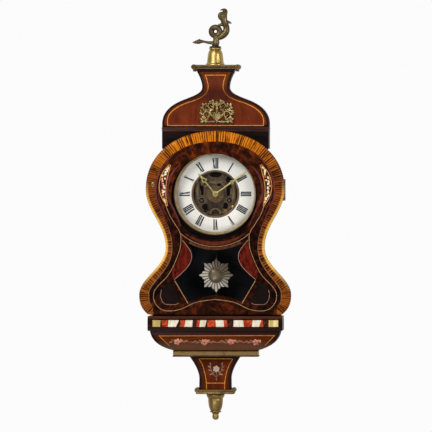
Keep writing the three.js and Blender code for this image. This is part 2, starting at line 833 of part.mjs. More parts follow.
// Lock: a case on the door's back and a bolt that slides towards the left wall
const boltFrontY = doorBackY + 2.9;
const boltBackY = boltFrontY + 3.2;
const boltLength = boltTravel + 4;
add('lock_case', cut(
  box(
    lockX, lockX + lockWidth, doorBackY + seat, doorBackY + lockDepth,
    lockZ - lockHeight / 2, lockZ + lockHeight / 2,
  ),
  box(
    lockX - 1, lockX + boltLength + 1, boltFrontY - running, boltBackY + running,
    lockZ - boltHeight / 2 - running, lockZ + boltHeight / 2 + running,
  ),
), brass);
add('lock_bolt', box(
  lockX + seat, lockX + seat + boltLength, boltFrontY, boltBackY,
  lockZ - boltHeight / 2, lockZ + boltHeight / 2,
), steel);

// Toothed wheels. A tooth points at `toothAngle`, measured from +X towards +Z.
const tipShare = 0.2;          // widths of a tooth as shares of the pitch
const rootShare = 0.56;

function gear(teeth, module, toothAngle, x, z, frontY, backY) {
  const pitchR = (module * teeth) / 2;
  const tipR = pitchR + toothAddendum * module;
  const rootR = pitchR - toothDedendum * module;
  const pitch = (2 * Math.PI) / teeth;
  const points = [];
  for (let k = 0; k < teeth; k += 1) {
    const middle = toothAngle + k * pitch;
    const corners = [[rootR, -rootShare], [tipR, -tipShare], [tipR, tipShare], [rootR, rootShare]];
    corners.forEach(([r, share]) => {
      const angle = middle + (share * pitch) / 2;
      points.push(new THREE.Vector2(x + r * Math.cos(angle), z + r * Math.sin(angle)));
    });
  }
  return slab(new THREE.Shape(points), frontY, backY);
}

// The angle of a follower's tooth when the driver has a tooth on the line between their centres
const meshedAngle = (lineAngle, teeth) => lineAngle + Math.PI + Math.PI / teeth;
const moduleFor = (distance, teethA, teethB) => (2 * distance) / (teethA + teethB);

const greatTeeth = 48;
const wheelTeeth = 48;
const thirdTeeth = 40;
const pinionTeeth = 8;
const cannonTeeth = 10;
const minuteTeeth = 30;
const hourTeeth = 32;
const greatModule = moduleFor(Math.hypot(windingX, windingZ), greatTeeth, pinionTeeth);
const centreModule = moduleFor(Math.hypot(thirdX, thirdZ), wheelTeeth, pinionTeeth);
const thirdModule = moduleFor(Math.hypot(thirdX, thirdZ - escapeZ), thirdTeeth, pinionTeeth);
const minuteModule = moduleFor(-minuteArborZ, cannonTeeth, minuteTeeth);
const hourModule = moduleFor(-minuteArborZ, pinionTeeth, hourTeeth);

// Layers of the train, front to back
const wheelThickness = 2;
const greatY = frontPlateBackY + 1.5;
const drumLength = 12;
const drumBackY = greatY + wheelThickness + drumLength;
const thirdY = greatY + 6;
const escapeY = thirdY + 5.5;
const centreY = backPlateY - 3.5;
const pinionLap = 0.4;
const arborHoleR = arborR + running;
const windingArborR = 2.2;
const drumR = 19.5;
const escapeR = 13;
const escapeTeeth = 20;

// Winding arbors: round through the plates, square at the front
[['left', -1], ['right', 1]].forEach(([place, side]) => {
  const squareY = dialFaceY + 0.5;
  const square = windingArborR * 0.98;
  add(`winding_arbor_${place}`, join(
    rodY(windingArborR, frontPlateY - 1, backPlateBackY + 1, side * windingX, windingZ),
    box(
      side * windingX - square, side * windingX + square, squareY, frontPlateY - 0.5,
      windingZ - square, windingZ + square,
    ),
  ), steel);
});

// Spring barrels with their great wheels: the going barrel right, with its wheel in front, and the
// strike barrel left, with its wheel behind, clear of the centre pinion
const greatLine = Math.atan2(-windingZ, -windingX);
function makeBarrel(x, toothAngle, wheelY) {
  return cut(
    join(
      gear(greatTeeth, greatModule, toothAngle, x, windingZ, wheelY, wheelY + wheelThickness),
      rodY(drumR, greatY, drumBackY, x, windingZ, 24),
    ),
    rodY(windingArborR + running, greatY - 1, drumBackY + 1, x, windingZ),
  );
}
add('going_barrel', makeBarrel(windingX, greatLine, greatY), brass);
add('strike_barrel', makeBarrel(-windingX, 0, drumBackY - wheelThickness), brass);

// Centre wheel with its pinion, on the arbor that carries the cannon pinion
const thirdLine = Math.atan2(thirdZ, thirdX);
const handFrontY = dialFaceY - 5.5;
add('centre_wheel', join(
  gear(wheelTeeth, centreModule, thirdLine, 0, 0, centreY, centreY + wheelThickness),
  gear(
    pinionTeeth, greatModule, meshedAngle(greatLine, pinionTeeth), 0, 0,
    greatY - pinionLap, greatY + wheelThickness + pinionLap,
  ),
  rodY(arborR, handFrontY - 1, backPlateBackY, 0, 0),
), brass);

// Third wheel
const escapeLine = Math.atan2(escapeZ - thirdZ, -thirdX);
const trainArborFrontY = frontPlateY + 0.5;
const trainArborBackY = backPlateBackY - 0.5;
add('third_wheel', join(
  gear(thirdTeeth, thirdModule, escapeLine, thirdX, thirdZ, thirdY, thirdY + wheelThickness),
  gear(
    pinionTeeth, centreModule, meshedAngle(thirdLine, pinionTeeth), thirdX, thirdZ,
    centreY - pinionLap, centreY + wheelThickness + pinionLap,
  ),
  rodY(arborR, trainArborFrontY, trainArborBackY, thirdX, thirdZ),
), brass);

// Escape wheel: pointed teeth on a thin rim
function makeEscapeWheel() {
  const points = [];
  for (let k = 0; k < escapeTeeth; k += 1) {
    const angle = ((k + 0.5) / escapeTeeth) * 2 * Math.PI;
    const root = escapeR * 0.76;
    const lean = (0.6 * Math.PI) / escapeTeeth;
    points.push(new THREE.Vector2(root * Math.cos(angle), escapeZ + root * Math.sin(angle)));
    const tipAngle = angle + lean;
    points.push(new THREE.Vector2(escapeR * Math.cos(tipAngle), escapeZ + escapeR * Math.sin(tipAngle)));
  }
  return join(
    slab(new THREE.Shape(points), escapeY, escapeY + 1.6),
    gear(
      pinionTeeth, thirdModule, meshedAngle(escapeLine, pinionTeeth), 0, escapeZ,
      thirdY - pinionLap, thirdY + wheelThickness + pinionLap,
    ),
    rodY(arborR, trainArborFrontY, trainArborBackY, 0, escapeZ),
  );
}
add('escape_wheel', makeEscapeWheel(), brass);

// Pallet anchor, its arbor and the crutch that holds the pendulum rod between two pins
const pendulumY = backPlateBackY + 11.5;
const crutchY = backPlateBackY + 5.5;
const crutchThickness = 1.4;
const crutchForkZ = palletZ - crutchLength;
const forkPinR = 0.8;
const forkPinX = rodR + forkPinR + 0.3;

function makePallets() {
  const anchor = new THREE.Shape();
  anchor.moveTo(-14, palletZ - 9);
  anchor.lineTo(-11.5, palletZ - 9.5);
  anchor.quadraticCurveTo(-8, palletZ - 3, 0, palletZ - 3);
  anchor.quadraticCurveTo(8, palletZ - 3, 11.5, palletZ - 9.5);
  anchor.lineTo(14, palletZ - 9);
  anchor.quadraticCurveTo(10, palletZ + 3.5, 0, palletZ + 3.5);
  anchor.quadraticCurveTo(-10, palletZ + 3.5, -14, palletZ - 9);
  return join(
    slab(anchor, escapeY - 0.4, escapeY + 2, 6),
    rodY(arborR, trainArborFrontY, crutchY + crutchThickness, 0, palletZ),
    box(-1.3, 1.3, crutchY, crutchY + crutchThickness, crutchForkZ, palletZ),
    box(
      -forkPinX - forkPinR, forkPinX + forkPinR, crutchY, crutchY + crutchThickness,
      crutchForkZ - 1.2, crutchForkZ + 1.2,
    ),
    ...[-1, 1].map((side) => rodY(
      forkPinR, crutchY + 0.5, pendulumY + rodR + 1, side * forkPinX, crutchForkZ, 8,
    )),
  );
}
add('pallet_anchor', makePallets(), steel);

// Plates: a front plate with pierced openings, a back plate with four riveted pillars
const hammerX = bellX + bellR + hammerGap + hammerHeadR;
const commonPivots = [[0, 0], [thirdX, thirdZ], [0, escapeZ], [0, palletZ]];
const windingPivots = [[-windingX, windingZ], [windingX, windingZ]];

function drilled(geometry, frontY, backY, extraPivots) {
  return cut(
    geometry,
    ...[...commonPivots, ...extraPivots].map(([x, z]) => rodY(arborHoleR, frontY - 1, backY + 1, x, z)),
    ...windingPivots.map(([x, z]) => rodY(windingArborR + running, frontY - 1, backY + 1, x, z)),
  );
}

// A round-ended slot between two points
function slotHole(x0, z0, x1, z1, radius) {
  const along = Math.atan2(z1 - z0, x1 - x0);
  const hole = new THREE.Shape();
  hole.absarc(x1, z1, radius, along - Math.PI / 2, along + Math.PI / 2);
  hole.absarc(x0, z0, radius, along + Math.PI / 2, along + (3 * Math.PI) / 2);
  hole.closePath();
  return slab(hole, frontPlateY - 1, frontPlateBackY + 1, 5);
}

function makeFrontPlate() {
  const plate = slab(rectangle(plateHalf, plateFootZ, plateTopZ), frontPlateY, frontPlateBackY);
  const topSlotZ = (escapeZ + palletZ) / 2;
  const sideSlotZ = windingZ + 22;
  const sideSlotReach = 8.5;
  const footSlots = [-1, 1].map((side) => slotHole(side * 10, -17, side * 19, -33, 4));
  const sideSlots = [-1, 1].map((side) => slotHole(
    side * windingX, sideSlotZ - sideSlotReach, side * windingX, sideSlotZ + sideSlotReach, 4,
  ));
  return drilled(
    cut(plate, slotHole(-8, topSlotZ, 8, topSlotZ, 4), ...sideSlots, ...footSlots),
    frontPlateY, frontPlateBackY, [[0, minuteArborZ]],
  );
}
add('front_plate', makeFrontPlate(), brass);

function makeBackPlate() {
  const pillarXs = [-plateHalf + pillarInset, plateHalf - pillarInset];
  const pillarZs = [plateFootZ + pillarInset, plateTopZ - pillarInset];
  const pillars = pillarXs.flatMap((x) => pillarZs.map((z) => rodY(
    pillarR, frontPlateBackY + seat, backPlateY + 1, x, z,
  )));
  const plate = slab(rectangle(plateHalf, plateFootZ, plateTopZ), backPlateY, backPlateBackY);
  return drilled(join(plate, ...pillars), backPlateY, backPlateBackY, [[hammerX, hammerPivotZ]]);
}
add('back_plate', makeBackPlate(), brass);

// Posts that carry the movement on the backboard
const postWidth = 10;
[['left', -1], ['right', 1]].forEach(([place, side]) => {
  const middle = side * (plateHalf - postWidth / 2 - 2);
  add(`movement_post_${place}`, box(
    middle - postWidth / 2, middle + postWidth / 2, backPlateBackY + seat, boardFrontY - seat,
    plateFootZ + 8, plateFootZ + 20,
  ), pine);
});

// Dial: an enamel chapter ring on four feet, open in the middle
function makeDialRing() {
  const footReach = (dialHoleR + 9) * Math.SQRT1_2;
  const ring = turnedY([
    [dialR, dialFaceY],
    [dialR, dialFaceY + dialThickness],
    [dialHoleR, dialFaceY + dialThickness],
    [dialHoleR, dialFaceY],
    [dialR, dialFaceY],
  ], 0, 0);
  const feet = [-1, 1].flatMap((sx) => [-1, 1].map((sz) => rodY(
    2.5, dialFaceY + dialThickness / 2, frontPlateY - seat, sx * footReach, sz * footReach, 10,
  )));
  return join(ring, ...feet);
}
add('dial_ring', makeDialRing(), enamel);

// Motion work: cannon pinion, minute wheel and hour wheel, between the front plate and the dial
const motionGap = 0.6;
const motionThickness = 1.6;
const cannonY = frontPlateY - motionGap - motionThickness;
const hourY = cannonY - motionGap - motionThickness;
const cannonR = 2.7;
const hourPipeR = cannonR + running + 1;
const hourHandY = dialFaceY - 1.5 - handThickness;
const minuteHandY = handFrontY;
const downLine = -Math.PI / 2;
add('cannon_pinion', cut(
  join(
    gear(cannonTeeth, minuteModule, downLine, 0, 0, cannonY, cannonY + motionThickness),
    rodY(cannonR, minuteHandY, cannonY + motionThickness, 0, 0, 16),
  ),
  rodY(arborHoleR, minuteHandY - 1, frontPlateY, 0, 0),
), brass);
add('minute_wheel', join(
  gear(
    minuteTeeth, minuteModule, meshedAngle(downLine, minuteTeeth), 0, minuteArborZ,
    cannonY, cannonY + motionThickness,
  ),
  gear(pinionTeeth, hourModule, -downLine, 0, minuteArborZ, hourY - pinionLap, cannonY + 0.2),
  rodY(arborR, hourY - 1, frontPlateBackY - 0.5, 0, minuteArborZ),
), brass);
add('hour_wheel', cut(
  join(
    gear(hourTeeth, hourModule, meshedAngle(-downLine, hourTeeth), 0, 0, hourY, hourY + motionThickness),
    rodY(hourPipeR, hourHandY, hourY + motionThickness, 0, 0, 20),
  ),
  rodY(cannonR + running, hourHandY - 1, frontPlateY, 0, 0, 16),
), brass);

// Hands: flat gilt hands on their pipes, drawn pointing at twelve and then turned
const degrees = Math.PI / 180;
function makeHand(blade, hubR, pipeR, frontY, angle) {
  const bladeSolid = slab(blade, frontY, frontY + handThickness, 8);
  const hub = rodY(hubR, frontY, frontY + handThickness, 0, 0, 24);
  const bore = rodY(pipeR + seat, frontY - 1, frontY + handThickness + 1, 0, 0, 20);
  return cut(join(bladeSolid, hub), bore).rotateY(angle * degrees);
}
const hourBlade = mirrored((path) => {
  path.moveTo(0, 0);
  path.lineTo(1.6, 0);
  path.lineTo(1.4, hourHandLength * 0.56);
  path.quadraticCurveTo(5.4, hourHandLength * 0.68, 1.4, hourHandLength * 0.8);
  path.lineTo(0, hourHandLength);
}, 6);
const minuteBlade = mirrored((path) => {
  path.moveTo(0, 0);
  path.lineTo(1.5, 0);
  path.lineTo(1.9, minuteHandLength * 0.7);
  path.lineTo(0, minuteHandLength);
}, 6);
add('hour_hand', makeHand(hourBlade, hourPipeR + 2.6, hourPipeR, hourHandY, hourHandAngle), brass);
add('minute_hand', makeHand(minuteBlade, cannonR + 2.4, cannonR, minuteHandY, minuteHandAngle), brass);

// Pendulum: suspension cock, rod, star-shaped bob and rating nut
const rodTopZ = palletZ + 2.8;
add('suspension_cock', box(
  -5, 5, backPlateBackY + seat, pendulumY + 4, rodTopZ + running, rodTopZ + running + 6,
), brass);
add('pendulum_rod', rodZ(rodR, rodFootZ, rodTopZ, 0, pendulumY), steel);

function makeBob() {
  const rays = 8;
  const points = [];
  for (let k = 0; k < 2 * rays; k += 1) {
    const angle = (k / rays) * Math.PI;
    const reach = k % 2 === 0 ? bobR : bobR * 0.64;
    points.push(new THREE.Vector2(reach * Math.sin(angle), bobZ + reach * Math.cos(angle)));
  }
  const backY = pendulumY - rodR - seat;
  const frontY = backY - bobThickness;
  return join(
    slab(new THREE.Shape(points), frontY, backY),
    turnedY([
      [0, frontY - 3.5],
      [bobDiscR * 0.7, frontY - 2.6],
      [bobDiscR, frontY - 0.6],
      [bobDiscR, frontY + 1],
      [0, frontY + 1],
    ], 0, bobZ, 20),
  );
}
add('pendulum_bob', makeBob(), silver);
const nutZ = bobZ - bobR - 6;
add('rating_nut', cut(
  rodZ(4.5, nutZ - 3, nutZ + 3, 0, pendulumY, 16),
  rodZ(rodR + seat, nutZ - 4, nutZ + 4, 0, pendulumY),
), brass);

// Strike: a bell on a stand, and a hammer that falls towards its rim
const bellBackY = boardFrontY - 8;
const bellFrontY = bellBackY - bellDepth;
const bellWall = 2;
add('bell', turnedY([
  [0, bellBackY - bellWall],
  [bellR * 0.6, bellBackY - bellWall - 1.2],
  [bellR * 0.84, bellBackY - bellWall - 6],
  [bellR - bellWall, bellFrontY],
  [bellR, bellFrontY],
  [bellR * 0.93, bellBackY - 7],
  [bellR * 0.68, bellBackY - 1.2],
  [0, bellBackY],
], bellX, bellZ, 28), brass);
add('bell_stand', rodY(5, bellBackY + seat, boardFrontY - seat, bellX, bellZ, 16), steel);
const hammerY = bellFrontY + 2;
add('hammer', join(
  rodY(arborR, backPlateY + 0.5, hammerY + 3, hammerX, hammerPivotZ),
  box(hammerX - 1.2, hammerX + 1.2, hammerY, hammerY + 2.5, hammerPivotZ, bellZ),
  rodY(hammerHeadR, hammerY - 1, hammerY + 4.5, hammerX, bellZ, 16),
), steel);

// Musical movement in the base: bedplate with its bearings, comb, pinned cylinder, spring drum, fly
const bedFootZ = corbelHollowFloorZ + seat;
const bedTopZ = bedFootZ + bedThickness;
const musicAxisZ = bedTopZ + musicAxisRise;
const musicAxisY = boardFrontY - musicAxisInset;
const bedHalf = corbelHollowHalf - bedEndGap;
const cylinderLength = 2 * bedHalf - musicEndSpace;
const cylinderX0 = -cylinderLength / 2 - 3;
const cylinderX1 = cylinderX0 + cylinderLength;
const musicArborR = 2;
const lugThickness = 4;
const lugGap = 2;
const flyX = cylinderX1 + 24;
const flyArborR = 1.2;
const flyTopZ = musicAxisZ + 10;

function makeBedplate() {
  const lugXs = [cylinderX0 - lugGap - lugThickness, cylinderX1 + lugGap];
  const lugs = lugXs.map((x) => box(
    x, x + lugThickness, musicAxisY - 6, musicAxisY + 6, bedTopZ - 0.5, musicAxisZ + 6,
  ));
  const cockX = flyX + flyBladeR + 5;
  const body = join(
    box(-bedHalf, bedHalf, musicAxisY - bedReach, boardFrontY - 4, bedFootZ, bedTopZ),
    ...lugs,
    box(cockX, cockX + 4, musicAxisY - 4, musicAxisY + 4, bedTopZ - 0.5, flyTopZ),
    box(flyX - 4, cockX + 1, musicAxisY - 4, musicAxisY + 4, flyTopZ - 4, flyTopZ),
  );
  return cut(
    body,
    rodX(musicArborR + running, -bedHalf, cylinderX1 + 10, musicAxisY, musicAxisZ),
    rodZ(flyArborR + running, bedFootZ - 1, flyTopZ + 1, flyX, musicAxisY),
  );
}
add('music_bedplate', makeBedplate(), brass);

function makeComb() {
  const tipY = musicAxisY - cylinderR - 0.6;
  const backY = tipY - combToothLength;
  const frontY = tipY - combReach;
  const pitch = cylinderLength / combTeeth;
  const slot = 1;
  const shape = new THREE.Shape();
  shape.moveTo(cylinderX0, frontY);
  shape.lineTo(cylinderX1, frontY);
  for (let k = combTeeth; k > 0; k -= 1) {
    const right = cylinderX0 + k * pitch;
    if (k < combTeeth) shape.lineTo(right - slot / 2, backY);
    shape.lineTo(right - (k < combTeeth ? slot / 2 : 0), tipY);
    shape.lineTo(right - pitch + (k > 1 ? slot / 2 : 0), tipY);
    if (k > 1) shape.lineTo(right - pitch + slot / 2, backY);
  }
  shape.closePath();
  const plate = new THREE.ExtrudeGeometry(shape, { depth: combThickness, bevelEnabled: false })
    .translate(0, 0, musicAxisZ - combThickness / 2);
  const base = box(cylinderX0, cylinderX1, frontY, frontY + combBaseDepth, bedTopZ + seat, musicAxisZ);
  return join(plate, base);
}
add('music_comb', makeComb(), steel);
const lugReach = lugGap + lugThickness + 1;
add('music_cylinder', join(
  rodX(cylinderR, cylinderX0, cylinderX1, musicAxisY, musicAxisZ, 32),
  rodX(musicArborR, cylinderX0 - lugReach, cylinderX1 + lugReach, musicAxisY, musicAxisZ, 12),
), brass);
const drumX1 = cylinderX0 - lugReach - 2;
const drumX0 = drumX1 - musicBarrelLength;
add('music_spring_drum', join(
  rodX(musicBarrelR, drumX0, drumX1, musicAxisY, musicAxisZ, 28),
  box(drumX0 + 4, drumX1 - 4, musicAxisY - 7, musicAxisY + 7, bedTopZ + seat, musicAxisZ - musicBarrelR + 4),
), brass);
add('music_fly', join(
  rodZ(flyArborR, bedFootZ + 0.5, flyTopZ + 1, flyX, musicAxisY, 10),
  box(flyX - flyBladeR, flyX + flyBladeR, musicAxisY - 0.6, musicAxisY + 0.6, bedTopZ + 4, flyTopZ - 6),
), brass);

export default clock;
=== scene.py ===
import math
import random

import bmesh
import bpy
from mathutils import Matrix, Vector, geometry


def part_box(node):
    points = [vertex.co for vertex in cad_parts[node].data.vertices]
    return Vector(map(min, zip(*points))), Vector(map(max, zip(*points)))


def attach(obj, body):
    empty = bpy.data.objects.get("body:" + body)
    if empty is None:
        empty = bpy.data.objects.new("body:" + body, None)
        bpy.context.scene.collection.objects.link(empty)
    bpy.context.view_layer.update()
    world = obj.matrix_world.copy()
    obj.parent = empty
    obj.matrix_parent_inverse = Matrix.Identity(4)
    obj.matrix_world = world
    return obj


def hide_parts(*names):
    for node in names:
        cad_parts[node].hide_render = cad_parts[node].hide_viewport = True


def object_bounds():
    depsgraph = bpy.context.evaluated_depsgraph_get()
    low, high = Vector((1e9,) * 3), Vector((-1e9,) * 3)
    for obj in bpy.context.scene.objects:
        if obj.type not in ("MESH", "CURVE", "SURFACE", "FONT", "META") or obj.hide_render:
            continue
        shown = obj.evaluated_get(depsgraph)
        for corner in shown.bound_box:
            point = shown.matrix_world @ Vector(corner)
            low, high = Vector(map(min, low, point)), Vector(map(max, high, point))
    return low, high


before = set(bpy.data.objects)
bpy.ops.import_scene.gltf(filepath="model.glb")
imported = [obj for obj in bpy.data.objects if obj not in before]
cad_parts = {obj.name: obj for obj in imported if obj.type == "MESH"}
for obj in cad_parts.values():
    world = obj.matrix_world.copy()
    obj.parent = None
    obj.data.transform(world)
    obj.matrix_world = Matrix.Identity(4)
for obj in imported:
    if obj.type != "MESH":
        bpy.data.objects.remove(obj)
cad_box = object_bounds()
scene = bpy.context.scene
scene.view_settings.view_transform = "Standard"

# Studio: a plain pale floor below the hanging clock, soft lamps in front and a white backdrop that
# only the camera, reflections and glass see at full strength.
MM = 0.001
FLOOR_DROP = 320 * MM
FLOOR_HALF = 0.55
FLOOR_GREY = (0.55, 0.55, 0.54, 1)
BACKDROP_WHITE = (0.97, 0.97, 0.97, 1)
ROOM_GREY = (0.8, 0.8, 0.8, 1)
LAMPS = (
    ("key_lamp", (-1.1, -1.9, 1.3), 1.3, 43), ("fill_lamp", (1.5, -1.7, 0.5), 1.2, 22),
    ("low_lamp", (-0.5, -2.0, -1.1), 0.8, 14),
)


def feed(node, sockets):
    """Gives a node's inputs a value, a link from a socket or a link from another node's first output."""
    for key, value in sockets.items():
        if isinstance(value, bpy.types.Node):
            value = value.outputs[0]
        if isinstance(value, bpy.types.NodeSocket):
            node.id_data.links.new(value, node.inputs[key])
        else:
            node.inputs[key].default_value = value


def add(tree, kind, sockets=None, **settings):
    node = tree.nodes.new("ShaderNode" + kind)
    for key, value in settings.items():
        setattr(node, key, value)
    feed(node, sockets or {})
    return node


def cleared_tree(owner):
    owner.use_nodes = True
    owner.node_tree.nodes.clear()
    return owner.node_tree


def new_material(name, sockets):
    material = bpy.data.materials.new(name)
    tree = cleared_tree(material)
    shader = add(tree, "BsdfPrincipled", sockets)
    add(tree, "OutputMaterial", {"Surface": shader})
    return material, shader


def aimed(name, data, place, target):
    """A lamp or a camera that looks from its place at a target."""
    thing = bpy.data.objects.new(name, data)
    thing.location = place
    thing.rotation_euler = (Vector(target) - Vector(place)).to_track_quat("-Z", "Y").to_euler()
    scene.collection.objects.link(thing)
    return thing


scene.world = bpy.data.worlds.new("studio")
tree = cleared_tree(scene.world)
rays = add(tree, "LightPath").outputs
seen = add(tree, "Math", {0: rays["Is Camera Ray"], 1: rays["Is Transmission Ray"]}, operation="MAXIMUM")
# Reflections see the white backdrop behind the clock and a dim room in front of it
heading = add(tree, "SeparateXYZ", {0: add(tree, "TexCoord").outputs["Generated"]}).outputs["Y"]
behind = add(tree, "MapRange", {
    "Value": heading, "From Min": -0.25, "From Max": 0.35, "To Min": 0.16,
}, interpolation_type="SMOOTHSTEP")
dim_light = add(tree, "Background", {"Color": ROOM_GREY, "Strength": behind})
white_light = add(tree, "Background", {"Color": BACKDROP_WHITE})
backdrop = add(tree, "MixShader", {0: seen, 1: dim_light, 2: white_light})
add(tree, "OutputWorld", {"Surface": backdrop})

clock_middle = (cad_box[0] + cad_box[1]) / 2
for name, place, size, power in LAMPS:
    data = bpy.data.lights.new(name, "AREA")
    data.shape, data.size, data.energy = "DISK", size, power
    aimed(name, data, place, clock_middle)

bm = bmesh.new()
bmesh.ops.create_circle(bm, cap_ends=True, segments=96, radius=FLOOR_HALF)
bmesh.ops.translate(bm, verts=bm.verts, vec=(0, clock_middle.y, cad_box[0].z - FLOOR_DROP))
floor_mesh = bpy.data.meshes.new("floor")
bm.to_mesh(floor_mesh)
bm.free()
floor = bpy.data.objects.new("floor", floor_mesh)
scene.collection.objects.link(floor)
floor_mesh.materials.append(new_material("floor_paint", {"Base Color": FLOOR_GREY, "Roughness": 0.7})[0])

# Camera: level with the clock, a little above and to the right of its middle, with a long lens.
# One photograph pixel is 1.95 mm at the door, and the dial centre is at pixel row 194.
PIXEL = 1.95 * MM
FRAME_PIXELS = 432
DIAL_ROW = 194
CENTRE_COLUMN = 215
LENS = 1000
SENSOR = 36
CAMERA_AZIMUTH = math.radians(2.0)
CAMERA_ELEVATION = math.radians(0.4)


def at_pixel(column, row):
    """The x and z of a photograph pixel at the front of the clock."""
    return (column - CENTRE_COLUMN) * PIXEL, (DIAL_ROW - row) * PIXEL


aim_x, aim_z = at_pixel(FRAME_PIXELS / 2, FRAME_PIXELS / 2)
aim = Vector((aim_x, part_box("door_frame")[0].y, aim_z))
away = Vector((
    math.sin(CAMERA_AZIMUTH) * math.cos(CAMERA_ELEVATION),
    -math.cos(CAMERA_AZIMUTH) * math.cos(CAMERA_ELEVATION),
    math.sin(CAMERA_ELEVATION),
))
camera_data = bpy.data.cameras.new("camera")
camera_data.lens, camera_data.sensor_width = LENS, SENSOR
scene.camera = aimed("camera", camera_data, aim + away * (FRAME_PIXELS * PIXEL * LENS / SENSOR), aim)

# Backboard, floor board and movement posts: plain sawn softwood, oiled dark with age. Its grain runs
# up the board, and the same grain group also figures the veneers further on.
POLISH_SHINE = 0.05


def colour(screen):
    """Screen values from 0 to 255 as the linear colour that shaders take."""
    shares = [value / 255 for value in screen]
    return (*(s / 12.92 if s <= 0.04045 else ((s + 0.055) / 1.055) ** 2.4 for s in shares), 1)


def node_group(name, inputs):
    """A node group that gives a colour, a roughness and a height."""
    group = bpy.data.node_groups.new(name, "ShaderNodeTree")
    outputs = {"Color": "Color", "Roughness": "Float", "Height": "Float"}
    for direction, sockets in (("INPUT", inputs), ("OUTPUT", outputs)):
        for socket_name, kind in sockets.items():
            group.interface.new_socket(name=socket_name, in_out=direction, socket_type="NodeSocket" + kind)
    return group, group.nodes.new("NodeGroupInput").outputs, group.nodes.new("NodeGroupOutput")


def noise(vector, scale, detail=4.0, roughness=0.55, distortion=0.0):
    return add(vector.id_data, "TexNoise", {
        "Vector": vector, "Scale": scale, "Detail": detail, "Roughness": roughness, "Distortion": distortion,
    }).outputs[0]


def spread(value, low, high, to_low=0.0, to_high=1.0):
    """Stretches the part of a value between low and high to a new range."""
    return add(value.id_data, "MapRange", {
        "Value": value, "From Min": low, "From Max": high, "To Min": to_low, "To Max": to_high,
    }).outputs[0]


def mixed(share, first, second, mode="MIX"):
    """Mixes two colours, each a socket or screen values."""
    values = [share] + [colour(value) if isinstance(value, tuple) else value for value in (first, second)]
    tree = next(value for value in values if isinstance(value, bpy.types.NodeSocket)).id_data
    return add(tree, "Mix", dict(zip((0, 6, 7), values)), data_type="RGBA", blend_type=mode).outputs[2]


def arithmetic(operation, *values):
    return add(values[0].id_data, "Math", dict(enumerate(values)), operation=operation).outputs[0]


def split(vector):
    return add(vector.id_data, "SeparateXYZ", {0: vector}).outputs


grain_group, given, gives = node_group(
    "wood_grain", {"Vector": "Vector", "Scale": "Float", "Dark": "Color", "Light": "Color"},
)
figure = noise(given["Vector"], given["Scale"], 3, 0.6, 0.6)
pores = noise(given["Vector"], arithmetic("MULTIPLY", given["Scale"], 7.0), 4, 0.7)
share = spread(arithmetic("MULTIPLY_ADD", pores, 0.45, figure), 0.48, 0.98)
feed(gives, {
    "Color": mixed(share, given["Dark"], given["Light"]),
    "Roughness": spread(pores, 0.3, 0.7, 0.3, 0.46), "Height": pores,
})


def polished(name, coat, coat_roughness=0.08):
    """A material under a coat of polish, which shines in place of the stuff below it."""
    return new_material(name, {
        "Coat Weight": coat, "Coat Roughness": coat_roughness, "Specular IOR Level": POLISH_SHINE,
    })


def object_vector(shader, stretch=(1, 1, 1), turn=(0, 0, 0)):
    place = add(shader.id_data, "TexCoord").outputs["Object"]
    return add(shader.id_data, "Mapping", {"Vector": place, "Scale": stretch, "Rotation": turn}).outputs[0]


def bump(shader, height, strength, depth=0.4 * MM):
    feed(shader, {"Normal": add(shader.id_data, "Bump", {
        "Height": height, "Strength": strength, "Distance": depth,
    })})


def grouped(shader, group, sockets):
    """Feeds a shader from a node group and returns the group's outputs."""
    outputs = add(shader.id_data, "Group", sockets, node_tree=group).outputs
    feed(shader, {"Base Color": outputs["Color"], "Roughness": outputs["Roughness"]})
    return outputs


def wood(name, dark, light, stretch=(1, 1, 1), scale=260, coat=0.1, lift=0.05):
    """A wood with its grain along the axis that `stretch` shortens, under a coat of polish."""
    material, shader = polished(name, coat)
    grain = grouped(shader, grain_group, {
        "Vector": object_vector(shader, stretch), "Scale": scale, "Dark": colour(dark), "Light": colour(light),
    })
    bump(shader, grain["Height"], lift)
    return material


def dress(material, *node_names):
    """Gives carried-over solids a better material."""
    for node_name in node_names:
        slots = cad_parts[node_name].data.materials
        slots.clear()
        slots.append(material)


softwood = wood("softwood", (74, 50, 28), (128, 92, 54), (1, 1, 0.08), 60, 0.05, 0.3)
dress(softwood, "backboard", "case_floor", "movement_post_left", "movement_post_right")

# Case sides: bent boards veneered with dark rosewood whose grain runs up the walls, under old polish.
# They stand on the front of the backboard and are glued to it.
rosewood = wood("rosewood", (38, 17, 11), (104, 50, 24), (1, 1, 0.1), 90, 0.25, 0.15)
dress(rosewood, "case_side_left", "case_side_right")

# Black block behind the top of the door: black-stained pear wood with a dull polish.
# It is glued to the backboard and carries the crest.
ebony = wood("ebony", (12, 8, 8), (34, 22, 20), (0.12, 1, 1), 70, 0.02)
dress(ebony, "crest_block")

# Crest: a shaped head above the black block, with a cove below its neck. Its red-brown veneer darkens
# to a black-stained edge, and a light stringing line follows the outline a little way in.
CREST_HALF, CREST_MID_HALF, CREST_NECK_HALF, CREST_TOP_HALF = 104.3, 62.2, 26.3, 36.0
CREST_SHOULDER_Z, CREST_MID_Z, CREST_NECK_Z = 137.0, 184.0, 208.7
COVE_DEPTH = 7.0 * MM
COVE_FOOT_Z = CREST_MID_Z - 4
STRING_FOOT_Z, STRING_TOP_Z = 133.6, 232.0
STRING_WIDTH = 1.6
PROUD = 0.16 * MM
EDGE_BLACK = (34, 15, 10)
BOXWOOD = (188, 102, 30), (232, 158, 72)
# Levels in metres where painted shade darkens the crest's veneer and stringing, in the cove below the neck
CREST_COVE_SHADE = 0.172, 0.190, 0.199, 0.214


def curve(start, *spans):
    """A path in the front plane, in millimetres, of spans of two handles, an end and a number of steps."""
    path = []
    for handle, other_handle, end, steps in spans:
        knots = [Vector(place) for place in (start, handle, other_handle, end)]
        path += geometry.interpolate_bezier(*knots, steps + 1)[:-1]
        start = end
    return path + [Vector(start)]


